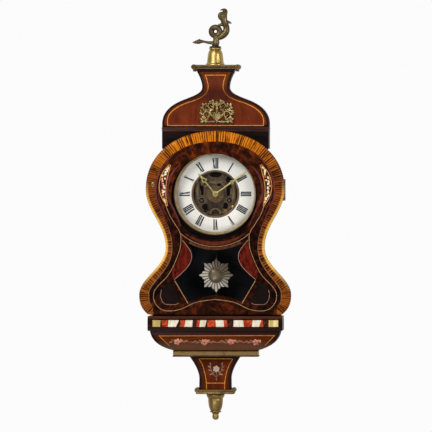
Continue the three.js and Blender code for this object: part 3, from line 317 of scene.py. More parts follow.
def smooth_path(points, steps=8):
    """A smooth run through rows of numbers of any length, such as places with a radius."""
    rows = [points[0]] + list(points) + [points[-1]]
    run = []
    for before, here, after, beyond in zip(rows, rows[1:], rows[2:], rows[3:]):
        for t in (step / steps for step in range(steps)):
            run.append(tuple(
                0.5 * (2 * b + (c - a) * t + (2 * a - 5 * b + 4 * c - d) * t * t
                       + (3 * b - a - 3 * c + d) * t ** 3)
                for a, b, c, d in zip(before, here, after, beyond)
            ))
    return run + [tuple(points[-1])]


def at_level(path, z):
    """The first number at one height on a path that only rises or only falls."""
    for (low, low_z), (high, high_z) in zip(path, path[1:]):
        if min(low_z, high_z) <= z <= max(low_z, high_z) and low_z != high_z:
            return low + (high - low) * (z - low_z) / (high_z - low_z)
    return path[0][0] if abs(z - path[0][1]) < abs(z - path[-1][1]) else path[-1][0]


def distance_to(path, point):
    """How far a point of the front plane is from a path, in the path's units."""
    best = math.inf
    for start, end in zip(path, path[1:]):
        share = min(max(geometry.intersect_point_line(point, start, end)[1], 0.0), 1.0)
        best = min(best, (point - start.lerp(end, share)).length)
    return best


def skin(bm, rings, closed=True, caps=False):
    """Quads between rings that have equally many points. Returns the vertices ring by ring."""
    rows = [[bm.verts.new(place) for place in ring] for ring in rings]
    count = len(rows[0])
    for one, other in zip(rows, rows[1:]):
        for index in range(count if closed else count - 1):
            following = (index + 1) % count
            bm.faces.new((one[index], one[following], other[following], other[index]))
    if caps:
        bm.faces.new(rows[0])
        bm.faces.new(rows[-1])
    return rows


def strip(bm, path, width, face, proud=PROUD, depth=1.2):
    """A flat inlaid line along points (x, z) in metres, which stands proud of a face(x, z)."""
    places = [Vector(place) for place in path]
    closed = (places[0] - places[-1]).length < 1e-7
    if closed:
        places.pop()
    count = len(places)
    rings = []
    for index, place in enumerate(places):
        before = places[index - 1] if index or closed else place
        after = places[(index + 1) % count] if index < count - 1 or closed else place
        first = (place - before).normalized() if before != place else (after - place).normalized()
        second = (after - place).normalized() if after != place else first
        side = (first + second).normalized().orthogonal()
        aside = side * (width * MM / 2 / max(side.dot(first.orthogonal()), 0.35))
        (x, z), (other_x, other_z) = place + aside, place - aside
        front, other_front = face(x, z) - proud, face(other_x, other_z) - proud
        rings.append([
            (x, front + depth * MM, z), (x, front, z),
            (other_x, other_front, other_z), (other_x, other_front + depth * MM, other_z),
        ])
    skin(bm, rings + rings[:1] if closed else rings, caps=not closed)


def piece(name, body, bm, *materials, smooth=35, stands_for=None, slot):
    """Keeps a mesh as a piece of the clock that moves with one body."""
    bmesh.ops.remove_doubles(bm, verts=bm.verts, dist=1e-7)
    bmesh.ops.recalc_face_normals(bm, faces=bm.faces)
    for face in bm.faces:
        face.smooth = True
    for edge in bm.edges:
        edge.smooth = len(edge.link_faces) == 2 and edge.calc_face_angle(0) < math.radians(smooth)
    mesh = bpy.data.meshes.new(name)
    bm.to_mesh(mesh)
    bm.free()
    for material in materials:
        mesh.materials.append(material)
    new_object = bpy.data.objects.new(name, mesh)
    scene.collection.objects.link(new_object)
    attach(new_object, body)
    if stands_for:
        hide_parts(stands_for)


crest_low, crest_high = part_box("crest_head")
crest_foot, crest_top, crest_front = crest_low.z / MM, crest_high.z / MM, crest_low.y
waist_rise, neck_rise = CREST_NECK_Z - CREST_SHOULDER_Z, crest_top - CREST_NECK_Z
crest_edge = [Vector((CREST_HALF, crest_foot))] + curve(
    (CREST_HALF, CREST_SHOULDER_Z),
    ((CREST_HALF, CREST_SHOULDER_Z + waist_rise * 0.39),
     (CREST_MID_HALF + 16, CREST_SHOULDER_Z + waist_rise * 0.57), (CREST_MID_HALF, CREST_MID_Z), 24),
    ((CREST_MID_HALF - 20, CREST_MID_Z + waist_rise * 0.11),
     (CREST_NECK_HALF, CREST_NECK_Z - waist_rise * 0.165), (CREST_NECK_HALF, CREST_NECK_Z), 24),
    ((CREST_NECK_HALF, CREST_NECK_Z + neck_rise * 0.32), (CREST_TOP_HALF - 5, crest_top - neck_rise * 0.27),
     (CREST_TOP_HALF, crest_top), 14),
)


def crest_face(x, z):
    """The crest's front, with the cove that runs in below the neck and out again above it."""
    level = z / MM
    if level < COVE_FOOT_Z or level > crest_top:
        return crest_front
    turn = (level - COVE_FOOT_Z) / (crest_top - COVE_FOOT_Z)
    return crest_front + COVE_DEPTH * math.sin(math.pi * turn ** 0.8) ** 1.5


def flipped(path):
    """The mirror image of a path."""
    return [Vector((-x, z)) for x, z in path]


def mirrored(path):
    """The whole outline of a right half, from its left end to its right end."""
    return flipped(reversed(path)) + [Vector(point) for point in path]


def shaped_block(path, face, back, edge=1.6 * MM):
    """A block with eased front corners inside the right half of an outline and behind a face. Each vertex
    notes its distance from the outline, in millimetres."""
    bm = bmesh.new()
    shares = [math.sin(math.pi / 2 * (index / 18 - 1)) for index in range(37)]
    rings = []
    for half, z in (point * MM for point in path):
        front = face(0, z)
        corner = [(half - 0.4 * edge, front + 0.35 * edge, z), (half, front + edge, z), (half, back, z)]
        rings.append(
            [(-x, y, level) for x, y, level in reversed(corner)]
            + [(share * (half - edge), front, z) for share in shares] + corner
        )
    skin(bm, rings, caps=True)
    layer, outline = bm.verts.layers.float.new("inset"), mirrored(path)
    for vertex in bm.verts:
        vertex[layer] = distance_to(outline, vertex.co.xz / MM)
    return bm


def attribute(shader, name):
    return add(shader.id_data, "Attribute", attribute_name=name).outputs["Fac"]


def painted_light_levels(material, start, full, last, end, shade):
    """Paints light or shade into a material's colour between two levels, fading in from start to full and out
    from last to end.
    """
    shader = material.node_tree.nodes["Principled BSDF"]
    level = split(object_vector(shader))["Z"]
    share = arithmetic("MULTIPLY", spread(level, start, full, 0.0, 0.75), spread(level, end, last))
    feed(shader, {"Base Color": mixed(share, shader.inputs["Base Color"].links[0].from_socket, shade)})


def edge_stained(name, dark, light, band, stretch, black_to, band_to):
    """A veneer with a black edge, a band of another colour inside it and its own colour from there on."""
    material, shader = polished(name, 0.02)
    grain = grouped(shader, grain_group, {
        "Vector": object_vector(shader, stretch), "Scale": 60, "Dark": colour(dark), "Light": colour(light),
    })
    inset = attribute(shader, "inset")
    grained_band = mixed(0.65, grain["Color"], band)
    edge = mixed(spread(inset, black_to - 2.5, black_to + 1.5), EDGE_BLACK, grained_band)
    own = mixed(spread(inset, band_to - 1.5, band_to + 1.0), edge, grain["Color"])
    feed(shader, {"Base Color": own})
    bump(shader, grain["Height"], 0.05, 0.3 * MM)
    return material


crest_veneer = edge_stained("crest_veneer", (76, 29, 12), (118, 50, 23), (104, 49, 13), (1, 1, 0.3), 5.4, 10.0)
# Painted shade: the veneer is darkened in the cove below the neck, where the neck's shadow falls.
painted_light_levels(crest_veneer, *CREST_COVE_SHADE, (48, 18, 13))
bm = shaped_block(crest_edge, crest_face, crest_high.y)
piece("crest_head_veneered", "case", bm, crest_veneer, stands_for="crest_head", slot="veneer")

string_insets = ((11.5, crest_foot), (8.5, 160), (8.0, 184), (11.8, CREST_NECK_Z), (11.0, crest_top))
line = []
for before, point, after in zip(crest_edge[:1] + crest_edge, crest_edge, crest_edge[1:] + crest_edge[-1:]):
    line.append(point + (after - before).normalized().orthogonal() * at_level(string_insets, point.y))
line = [point for point in line if STRING_FOOT_Z < point.y < STRING_TOP_Z]
corners = Vector((line[0].x, STRING_FOOT_Z)), Vector((line[-1].x + 0.6, STRING_TOP_Z))
loop = [point * MM for point in mirrored([corners[0], *line, corners[1]])]
bm = bmesh.new()
strip(bm, loop + loop[:1], STRING_WIDTH, crest_face)
crest_boxwood = wood("crest_boxwood", *BOXWOOD)
# Painted shade: the stringing is dimmed where it crosses the cove's shadow.
painted_light_levels(crest_boxwood, *CREST_COVE_SHADE, (96, 44, 20))
piece("crest_stringing", "case", bm, crest_boxwood, slot="inlay")

# Crest cap: an old brass plate with a moulded front edge and two rolled ends that droop below it.
# One group tarnishes every metal: brown in patches, brighter where it has been rubbed.
tarnish_group, given, gives = node_group(
    "tarnish", {"Vector": "Vector", "Clean": "Color", "Dull": "Color", "Amount": "Float", "Polish": "Float"},
)
patches = noise(given["Vector"], 55.0, 5, 0.6, 0.4)
specks = noise(given["Vector"], 420.0, 3, 0.6)
worn = arithmetic("ADD", patches, arithmetic("MULTIPLY", specks, 0.35))
share = arithmetic("MULTIPLY", spread(worn, 0.5, 0.92), given["Amount"])
feed(gives, {
    "Color": mixed(share, given["Clean"], given["Dull"]),
    "Roughness": arithmetic("MULTIPLY_ADD", share, 0.3, given["Polish"]), "Height": specks,
})


def tarnished(name, clean, dull, amount, polish, metallic):
    material, shader = new_material(name, {"Metallic": metallic})
    finish = grouped(shader, tarnish_group, {
        "Vector": object_vector(shader), "Clean": colour(clean), "Dull": colour(dull),
        "Amount": amount, "Polish": polish,
    })
    return material, shader, finish


def metal(name, clean, dull, amount, polish, lift=0.1, metallic=1.0):
    """A metal that is dull in patches, by an amount, and whose clean parts have the roughness of a polish."""
    material, shader, finish = tarnished(name, clean, dull, amount, polish, metallic)
    bump(shader, finish["Height"], lift)
    return material


def lathe(bm, profile, centre, segments, upright=False, scale=(MM, MM)):
    """Turns a profile of radius and height in millimetres about an axis through a centre."""
    turns = [2 * math.pi * index / segments for index in range(segments)]
    x, y, z = centre
    rings = []
    for radius, height in profile:
        reach, along = max(radius * scale[0], 1e-6), height * scale[1]
        around = [(reach * math.cos(turn), reach * math.sin(turn)) for turn in turns]
        rings.append([(x + u, y + v, z + along) if upright else (x + u, y + along, z + v) for u, v in around])
    skin(bm, rings)


def moulding(bm, half, front, back, level, section):
    """A straight length from -half to half whose section wraps round to the back. Its rows give a rise
    above the level, how far it stands out and how far it is set back, in millimetres."""
    rings = []
    for rise, out, *set_back in section:
        x, y, z = half + out * MM, front + (sum(set_back) - out) * MM, level + rise * MM
        rings.append([(-x, back, z), (-x, y, z), (x, y, z), (x, back, z)])
    skin(bm, rings, caps=True)


cap_low, cap_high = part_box("crest_cap")
ROLL_R, KNOB_R = 5.0 * MM, 2.5 * MM
PLATE_DROP, PLATE_LIFT = 8.4 * MM, 2.0 * MM
CAP_SECTION = (
    (0.0, 0, 5.0), (0.2, 0, 2.2), (0.7, 0, 1.6), (2.3, 0, 1.6), (2.8, 0, 2.0), (3.2, 0, 3.0), (3.7, 0, 3.0),
    (4.3, 0, 1.4), (5.0, 0, 0.5), (5.9, 0, 0.3), (7.3, 0, 0.3), (8.0, 0, 0.7), (8.4, 0, 1.6),
)
plate_foot = cap_high.z - PLATE_DROP + PLATE_LIFT
roll_z = plate_foot + PLATE_DROP / 2
roll_x = cap_high.x - ROLL_R * 1.2
cap_depth = (cap_high.y - cap_low.y) / MM
scroll = (
    (0, 0.4), (0.22, 0.4), (0.3, 1.3), (0.44, 1.3), (0.54, 0.2), (0.86, 0.2), (1.0, 1.4), (1.0, cap_depth),
    (0, cap_depth),
)
bm = bmesh.new()
moulding(bm, roll_x, cap_low.y, cap_high.y, plate_foot, CAP_SECTION)
for side in (-1, 1):
    lathe(bm, scroll, (side * (cap_high.x - ROLL_R), cap_low.y, roll_z), 40, scale=(ROLL_R, MM))
    knob_z = roll_z - ROLL_R - KNOB_R * 0.6
    lathe(bm, scroll, (side * roll_x, cap_low.y, knob_z), 32, scale=(KNOB_R, MM))
cap_brass = metal("cap_brass", (140, 116, 78), (80, 62, 40), 0.9, 0.4)
piece("crest_cap_moulded", "case", bm, cap_brass, stands_for="crest_cap", slot="brass")
# Below the plate, a narrow cove of black-stained wood stands in for the plate's shadow: painted shade.
bm = bmesh.new()
moulding(bm, CREST_TOP_HALF * MM, crest_front, cap_high.y, plate_foot, (
    (crest_top + 0.1 - plate_foot / MM, 0), (-0.6, 1.0), (0, 1.2),
))
piece("cap_cove_shade", "case", bm, ebony, slot="ebonised")

# Moulding at the crest's foot: a thin dark bead that covers the joint above the black block.
# It is a planed strip of stained wood, glued on.
block_low, block_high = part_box("crest_block")
BEAD_FOOT_Z = 121.6
BEAD_SECTION = (
    (0.0, 0.0), (0.04, 0.6), (0.2, 1.0), (0.36, 0.8), (0.44, 0.2), (0.5, 0.2), (0.56, 0.9), (0.72, 1.3),
    (0.9, 1.1), (1.0, 0.4),
)
bead_rise = crest_foot + 1.4 - BEAD_FOOT_Z
bm = bmesh.new()
moulding(
    bm, block_high.x - 0.6 * MM, min(block_low.y, crest_front), block_high.y, BEAD_FOOT_Z * MM,
    [(share * bead_rise, out) for share, out in BEAD_SECTION],
)
bead_wood = wood("bead_wood", (40, 22, 19), (82, 52, 46), (0.1, 1, 1), 60, 0.05)
piece("crest_bead", "case", bm, bead_wood, smooth=45, slot="ebonised")

# Finial foot: a turned and polished brass bell with a beaded ring at its waist.
# It stands on the cap plate and is screwed through it from below.
foot_low, foot_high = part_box("finial_foot")
FINIAL_SHIFT = -1.8 * MM
FOOT_PROFILE = (
    (0, 0), (0.97, 0), (1.0, 0.03), (1.0, 0.09), (0.95, 0.13), (0.9, 0.16), (0.88, 0.2), (0.86, 0.3),
    (0.83, 0.45), (0.8, 0.6), (0.76, 0.72), (0.69, 0.82), (0.62, 0.88), (0.58, 0.91), (0.6, 0.93), (0.66, 0.95),
    (0.68, 0.975), (0.66, 1.0), (0, 1.0),
)
bm = bmesh.new()
lathe(
    bm, FOOT_PROFILE, (FINIAL_SHIFT, (foot_low.y + foot_high.y) / 2, foot_low.z), 72, upright=True,
    scale=(foot_high.x, foot_high.z - foot_low.z),
)
bright_brass = metal("bright_brass", (204, 176, 108), (140, 110, 58), 0.7, 0.3, 0.05)
piece("finial_foot_turned", "case", bm, bright_brass, smooth=50, stands_for="finial_foot", slot="brass")


# Finial figure: a cast bronze sea beast curled over its own tail, with fins and a split tail.
# It is cast in one piece and pinned to the foot.
def sweep(bm, stations, sides, flat):
    """A round or flattened bar through stations of (x, y, z, radius), closed at both ends."""
    places = [Vector(station[:3]) for station in stations]
    rings = []
    side = None
    for index, place in enumerate(places):
        ahead = (places[min(index + 1, len(places) - 1)] - places[max(index - 1, 0)]).normalized()
        if side is None:
            side = Vector((0, 1, 0)) if abs(ahead.y) < 0.9 else Vector((1, 0, 0))
        side = (side - ahead * side.dot(ahead)).normalized()
        other = ahead.cross(side)
        radius = stations[index][3]
        rings.append([
            place + radius * (side * flat * math.cos(turn) + other * math.sin(turn))
            for turn in (2 * math.pi * step / sides for step in range(sides))
        ])
    skin(bm, rings, caps=True)


figure_low, figure_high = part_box("finial_figure")
figure_y = (figure_low.y + figure_high.y) / 2
CAST_SWELL = 1.12
COIL_COLUMN, COIL_ROW, COIL_REACH, COIL_THICK = 215.2, 31.2, 4.2, 2.5
COIL_STEPS, COIL_FIRST, COIL_TURN = 25, -70, 15
COIL_BACK, COIL_PITCH = -1.2, 0.1
# Each limb as photograph pixels: column, row and radius
LIMBS = (
    # The body from the coil to the beak
    ((214.5, 36.6, 2.0), (218.5, 37.0, 2.6), (222.6, 35.0, 3.0), (225.6, 31.4, 3.1), (226.1, 27.4, 2.8),
     (224.9, 23.6, 2.9), (223.6, 19.8, 3.1), (223.2, 16.2, 3.3), (224.2, 13.0, 2.7), (224.9, 10.9, 2.2),
     (224.2, 9.7, 1.6), (222.4, 9.3, 0.95), (220.6, 9.6, 0.5), (220.0, 10.1, 0.15)),
    # The beard, the fin on the back and the bridge that ties the coil to the body
    ((222.8, 13.4, 1.8), (220.2, 14.0, 2.0), (219.6, 16.2, 1.9), (220.6, 18.4, 1.6), (222.4, 19.8, 1.2)),
    ((226.4, 21.5, 1.7), (228.8, 22.0, 1.15), (230.4, 22.7, 0.7), (231.6, 22.9, 0.15)),
    ((217.2, 26.6, 1.5), (219.0, 25.0, 1.3), (221.4, 24.3, 1.5), (223.6, 24.6, 1.6)),
    # The foot, the tail with its leaf and a knob on the leaf
    ((215.2, 36.0, 2.4), (215.8, 39.4, 2.7), (215.6, 42.4, 3.2), (215.3, 45.2, 2.8), (215.3, 47.0, 2.9)),
    ((214.6, 43.0, 2.0), (211.4, 42.6, 1.6), (207.4, 42.2, 1.25), (203.6, 41.4, 1.1), (201.0, 41.2, 1.6),
     (198.4, 41.4, 2.1), (195.6, 41.9, 1.5), (193.6, 42.0, 0.9), (191.9, 42.0, 0.15)),
    ((199.2, 40.6, 1.0), (199.0, 39.4, 0.8), (199.4, 38.6, 0.3)),
)
EYE_PIXEL, EYE_OUT = (224.6, 10.7), 3.3 * MM
EYE_PROFILE = (0, -0.9), (0.7, -0.6), (0.95, 0), (0.7, 0.6), (0, 0.9)
BASE_PROFILE = (0, 0), (10.6, 0), (11.8, 1.2), (11.6, 2.6), (10.2, 3.6), (7.0, 4.4), (6.2, 6.5), (0, 8.0)


def cast_limb(bm, rows, flat):
    """A limb through pixel stations, with an offset in depth in millimetres where a row has a fourth number."""
    stations = []
    for column, row, radius, *depth in smooth_path(rows, 7):
        x, z = at_pixel(column, row)
        thickness = max(radius * CAST_SWELL, 0.12) * PIXEL
        stations.append((x + FINIAL_SHIFT, figure_y + sum(depth) * MM, z, thickness))
    sweep(bm, stations, 18, flat)


bm = bmesh.new()
coil = []
for step in range(COIL_STEPS):
    turn = math.radians(COIL_FIRST + COIL_TURN * step)
    column, row = COIL_COLUMN + COIL_REACH * math.cos(turn), COIL_ROW - COIL_REACH * math.sin(turn)
    coil.append((column, row, COIL_THICK, COIL_BACK + COIL_PITCH * step))
cast_limb(bm, coil, 1.0)
for limb in LIMBS:
    cast_limb(bm, limb, 0.85)
eye_x, eye_z = at_pixel(*EYE_PIXEL)
for side in (-1, 1):
    lathe(bm, EYE_PROFILE, (eye_x + FINIAL_SHIFT, figure_y + side * EYE_OUT, eye_z), 14)
lathe(bm, BASE_PROFILE, (FINIAL_SHIFT, figure_y, figure_low.z), 48, upright=True)
cast_bronze = metal("cast_bronze", (120, 104, 72), (54, 46, 34), 1.0, 0.38, 0.6)
piece("finial_beast", "case", bm, cast_bronze, smooth=60, stands_for="finial_figure", slot="bronze")

# Crest mount: a pierced spray of cast and gilt leaves pinned to the crest, with a shell at its middle.
# Its two halves mirror each other.
mount_low, mount_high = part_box("crest_mount")
mount_y = (mount_low.y + mount_high.y) / 2
MOUNT_COLUMN = 216.4
# Scrolls of the right half: centre, start radius, start angle in degrees, turns, and a leaf's length
SCROLLS = (
    (9.6, 114.6, 4.6, 250, 1.35, 2.8), (5.4, 105.4, 4.0, 240, 1.3, 2.6), (13.4, 119.2, 2.6, 200, 1.1, 2.2),
    (11.8, 106.2, 3.0, 230, 1.15, 2.4), (4.0, 113.2, 2.8, 100, -1.1, 2.2), (1.6, 102.6, 2.4, 60, -1.0, 1.8),
    (14.4, 112.6, 2.0, 140, -1.0, 1.8),
)
SCROLL_STEPS, SCROLL_CLOSE = 18, 0.78
LEAF_STEPS = (1, 4, 7, 10, 13)
# Width, thickness and offset in depth
SCROLL_STEM, SCROLL_LEAF, FAN_LEAF = (1.6, 1.1), (1.9, 1.1, -0.4), (1.5, 1.2, -0.8)
BERRY_PROFILE = (0, -1.5), (1.1, -1.1), (1.5, 0), (0, 0.6)


def leaf(bm, points, width, thickness=1.3, depth=0.0):
    """A ribbed leaf along pixels beside the mount's middle, widest before its own middle."""
    run = smooth_path(points, 6)
    stations = []
    for index, (column, row) in enumerate(run):
        x, z = at_pixel(MOUNT_COLUMN + column, row)
        t = index / (len(run) - 1)
        swell = math.sin(math.pi * min(1.0, 0.12 + 0.88 * t)) ** 0.7 if t < 1 else 0.05
        stations.append((x, mount_y + depth * MM, z, max(width * swell, 0.2) * MM))
    sweep(bm, stations, 10, thickness / width)


bm = bmesh.new()
for side in (-1, 1):
    for column, row, reach, start, turns, leaf_length in SCROLLS:
        def on_scroll(out, turn):
            return side * (column + out * math.cos(turn)), row - out * math.sin(turn)

        stem = []
        for step in range(SCROLL_STEPS + 1):
            share = step / SCROLL_STEPS
            turn = math.radians(start + 360 * turns * share)
            out = reach * (1 - SCROLL_CLOSE * share)
            stem.append(on_scroll(out, turn))
            if step in LEAF_STEPS:
                tip = out + leaf_length * (1 - 0.5 * share)
                tip_turn = turn + math.copysign(0.5, turns)
                spine = stem[-1], on_scroll((out + tip) / 2, turn + 0.1), on_scroll(tip, tip_turn)
                leaf(bm, spine, *SCROLL_LEAF)
        leaf(bm, stem, *SCROLL_STEM)
        berry_x, berry_z = at_pixel(MOUNT_COLUMN + stem[-1][0], stem[-1][1])
        lathe(bm, BERRY_PROFILE, (berry_x, mount_y - 0.6 * MM, berry_z), 14)
    leaf(bm, ((0, 121), (side * 7, 121.8), (side * 12, 121), (side * 16.4, 118.6)), 2.0)
for fan in range(-4, 5):
    turn = math.radians(90 + 22 * fan)
    across, up = math.cos(turn), math.sin(turn)
    leaf(bm, ((0, 120.4), (2.8 * across, 118.2 - 2.6 * up), (4.6 * across, 117.0 - 4.8 * up)), *FAN_LEAF)
leaf(bm, ((0, 114), (0, 109), (0.4, 105), (1.2, 101.6)), 2.4, 1.4)
leaf(bm, ((0, 119), (0, 121.4), (0, 123.2)), 1.8, 1.4)
gilt = metal("gilt", (184, 162, 108), (84, 68, 40), 1.0, 0.32, 0.3)
piece("crest_mount_leaves", "case", bm, gilt, smooth=60, stands_for="crest_mount", slot="gilt")

# Plinth: a black-stained box, with a lighter brown bead glued along its top edge as a painted highlight.
# The box closes the foot of the case below the door.
plinth_low, plinth_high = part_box("plinth")
PLINTH_EDGE = 2 * MM
plinth_rise = (plinth_high.z - plinth_low.z) / MM
plinth_span = plinth_high.x - PLINTH_EDGE, plinth_low.y + PLINTH_EDGE, plinth_high.y, plinth_low.z
BOX_FOOT = (0, 0.2), (0.4, 1.5), (2.0, 2.0)
BOX_TOP = (6.2, 2.0), (5.8, 1.4), (5.4, 1.3)
TOP_BEAD = (5.4, 1.2), (5.0, 1.6), (4.2, 1.9), (1.5, 2.0), (0.4, 1.4), (0.0, 0.4)
bm = bmesh.new()
moulding(bm, *plinth_span, [(plinth_rise - down, out) for down, out in TOP_BEAD])
# Painted highlight: the bead is a lighter brown where the top edge catches the light.
plinth_bead_lit = wood("plinth_bead_lit", (44, 20, 12), (88, 48, 30), (0.1, 1, 1), 60, 0.02)
piece("plinth_top_bead", "case", bm, plinth_bead_lit, slot="ebonised")
bm = bmesh.new()
moulding(bm, *plinth_span, [*BOX_FOOT, *((plinth_rise - down, out) for down, out in BOX_TOP)])
stained_plinth = wood("stained_plinth", (18, 8, 4), (48, 22, 13), (0.1, 1, 1), 60, 0.02)
piece("plinth_beaded", "case", bm, stained_plinth, stands_for="plinth", slot="ebonised")

# Inlay strip: skewed blocks of bone, red-stained bone and dark shell between two brass-coloured horn ends.
# The blocks are glued side by side along the front of the plinth, a little uneven in height.
inlay_low, inlay_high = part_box("inlay_strip")
INLAY_HEIGHT, INLAY_GAP, INLAY_SET_BACK = 12.9 * MM, 0.12 * MM, 0.4 * MM
INLAY_WAVE, INLAY_WAVE_TURN = 0.12 * MM, 2.4
INLAY_EASE, INLAY_RISE = 0.5 * MM, 0.25 * MM


def ramp(value, stops):
    """Colours along a value, from stops of a position and screen values."""
    node = add(value.id_data, "ValToRGB", {0: value})
    elements = node.color_ramp.elements
    while len(elements) < len(stops):
        elements.new(0.5)
    for index, (position, screen) in enumerate(stops):
        elements[index].position = position
        elements[index].color = colour(screen)
    return node.outputs[0]


def mottled(name, dark, middle, light, scale, low, high, coat=0.3, stretch=(1, 1, 1)):
    """A cloudy material such as shell, through colours from dark to light."""
    material, shader = polished(name, coat)
    clouds = noise(object_vector(shader, stretch), scale, 5, 0.62, 1.2)
    feed(shader, {
        "Base Color": ramp(clouds, ((low, dark), ((low + high) / 2, middle), (high, light))),
        "Roughness": spread(clouds, 0.3, 0.7, 0.42, 0.26),
    })
    bump(shader, clouds, 0.08)
    return material


bone = wood("bone", (196, 178, 142), (244, 238, 222), (1, 1, 0.3), 160, 0.25, 0.1)
red_bone = mottled("red_bone", (60, 18, 12), (160, 46, 24), (202, 84, 46), 150, 0.3, 0.62)
dark_shell = mottled("dark_shell", (20, 11, 9), (60, 27, 20), (150, 50, 30), 130, 0.34, 0.72)
horn = mottled("horn", (150, 124, 70), (204, 180, 112), (242, 228, 172), 60, 0.3, 0.7, 0.2, (1, 1, 0.15))
INLAY_FINISHES = (horn, bone, red_bone, dark_shell)
# Each block starts at a pixel column, skewed by some pixels between its foot and its top
INLAY_BLOCKS = (
    (152.6, 0.0, horn), (160.4, 0.6, dark_shell), (161.8, -0.6, red_bone), (168.2, 0.6, bone),
    (177.6, 3.0, dark_shell), (180.2, 1.2, red_bone), (185.0, 1.0, bone), (192.6, 0.4, dark_shell),
    (196.6, 0.6, red_bone), (199.8, 0.8, bone), (206.0, 1.6, dark_shell), (207.4, 0.4, red_bone),
    (215.8, -0.4, bone), (224.0, -0.6, red_bone), (227.4, -0.6, dark_shell), (233.6, 0.4, bone),
    (243.6, -0.8, red_bone), (252.4, 0.8, bone), (260.4, 2.2, red_bone), (263.4, -0.6, dark_shell),
    (268.8, 0.2, horn), (278.4, 0.0, None),
)
inlay_foot = (inlay_low.z + inlay_high.z - INLAY_HEIGHT) / 2
inlay_top = inlay_foot + INLAY_HEIGHT
bm = bmesh.new()
for index, ((start, skew, finish), (end, end_skew, _)) in enumerate(zip(INLAY_BLOCKS, INLAY_BLOCKS[1:])):
    left, right = at_pixel(start, 0)[0] + INLAY_GAP, at_pixel(end, 0)[0] - INLAY_GAP
    lean, end_lean = skew * PIXEL / 2, end_skew * PIXEL / 2
    outline = (
        (left - lean, inlay_foot), (right - end_lean, inlay_foot),
        (right + end_lean, inlay_top), (left + lean, inlay_top),
    )
    inlay_front = inlay_low.y + INLAY_SET_BACK + INLAY_WAVE * math.sin(index * INLAY_WAVE_TURN)
    rows = skin(bm, [[(x, y, z) for x, z in outline] for y in (inlay_high.y, inlay_front)])
    front = bm.faces.new(rows[-1])
    bmesh.ops.inset_individual(bm, faces=[front], thickness=INLAY_EASE, depth=0.0, use_even_offset=True)
    bmesh.ops.translate(bm, verts=front.verts, vec=(0, -INLAY_RISE, 0))
    for face in {face for row in rows for vertex in row for face in vertex.link_faces} | {front}:
        face.material_index = INLAY_FINISHES.index(finish)
piece("inlay_blocks", "case", bm, *INLAY_FINISHES, stands_for="inlay_strip", slot="inlay")

# Corbel: a block that curves in under the plinth, veneered red-brown with a dark edge, with a string
# line and a garland of small inlaid flowers along its front.
corbel_low, corbel_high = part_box("corbel")
CORBEL_FOOT_HALF, CORBEL_RUN = 84.0, 32.0
# Levels in metres of the corbel's foot, which is painted paler as a reflection
CORBEL_PAINTED_REFLECTION = -0.286, -0.303, -0.320, -0.330
CORBEL_LINE = ((169.4, 346.2), (159.2, 336.0), (274.4, 335.6), (264.6, 345.8))
FLOWER_COLUMNS = (177.0, 204.2, 230.6, 255.6)
FLOWER_ROW = 341.8
GARLAND_HALF = 88 * MM
GARLAND_LEAVES = ((9, 3.6, 3.2), (13, -2.6, 3.0), (18, 2.2, 2.8), (22, -1.4, 2.4))
STEM_WIDTH, STEM_DEPTH, STEM_DROP, STEM_WAVE = 0.9, 0.5, 0.4 * MM, 1.3 * MM
LEAF_BACK, LEAF_OUT, LEAF_BEND = 5, 3, 0.15
FLOWER_R, BUD_R, BUD_SHIFT = 6.4, 3.4, Vector((7.4, 2.4)) * MM
# A petal's middle, half length and half width as shares of the flower's radius
PETAL_OUT, PETAL_LONG, PETAL_WIDE = 0.58, 0.46, 0.4
corbel_top, corbel_foot, corbel_half = corbel_high.z / MM, corbel_low.z / MM, corbel_high.x / MM
corbel_drop = corbel_top - corbel_foot


def curl_in(start, run):
    """The curve of the corbel's side or front, from its top to its foot."""
    return curve((start, corbel_top), (
        (start - run * 0.07, corbel_top - corbel_drop * 0.45),
        (start - run * 0.34, corbel_top - corbel_drop * 0.8),
        (start - run, corbel_foot), 30,
    ))


corbel_nose = curl_in(corbel_low.y / MM, -CORBEL_RUN)


def corbel_face(x, z):
    return at_level(corbel_nose, z / MM) * MM


bm = shaped_block(curl_in(corbel_half, corbel_half - CORBEL_FOOT_HALF), corbel_face, corbel_high.y, 2.2 * MM)
corbel_veneer = edge_stained("corbel_veneer", (70, 25, 2), (116, 46, 5), (60, 22, 6), (0.2, 1, 1), 7.0, 12.0)
# Painted reflection: the foot, which curves under, is painted a paler grey-brown as if it reflected the pale
# floor.
painted_light_levels(corbel_veneer, *CORBEL_PAINTED_REFLECTION, (124, 88, 68))
piece("corbel_veneered", "case", bm, corbel_veneer, stands_for="corbel", slot="veneer")

bm = bmesh.new()
corners = [Vector(at_pixel(*pixel)) for pixel in CORBEL_LINE]
line = [one.lerp(other, step / 14) for one, other in zip(corners, corners[1:]) for step in range(14)]
strip(bm, line + corners[-1:], 1.0, corbel_face)
boxwood = wood("boxwood", *BOXWOOD)
piece("corbel_stringing", "case", bm, boxwood, slot="inlay")


def lay(bm, outline, face, proud=PROUD):
    """A flat shape inside points (x, z), laid on a face(x, z)."""
    return bm.faces.new([bm.verts.new((x, face(x, z) - proud, z)) for x, z in outline])


def petal_flower(bm, centre, radius, petals, face, turn=0.0, proud=1.4 * PROUD):
    """A flat flower of round petals about a centre (x, z), laid on a face."""
    for petal in range(petals):
        angle = turn + 2 * math.pi * petal / petals
        out = Vector((math.cos(angle), math.sin(angle))) * radius * MM
        ring = []
        for around in (2 * math.pi * step / 12 for step in range(12)):
            along = out * (PETAL_OUT + PETAL_LONG * math.cos(around))
            ring.append(Vector(centre) + along + out.orthogonal() * PETAL_WIDE * math.sin(around))
        lay(bm, ring, face, proud)


def flat_leaf(bm, start, end, width, face, bend):
    """A flat pointed leaf from start to end, laid on a face."""
    along = Vector(end) - Vector(start)
    aside = along.orthogonal()
    left, right = [], []
    for t in (step / 8 for step in range(9)):
        middle = Vector(start) + along * t + aside * bend * math.sin(math.pi * t)
        swell = aside.normalized() * width * MM / 2 * math.sin(math.pi * (0.04 + 0.94 * t)) ** 0.8
        left.append(middle + swell)
        right.append(middle - swell)
    lay(bm, left + right[::-1], face)


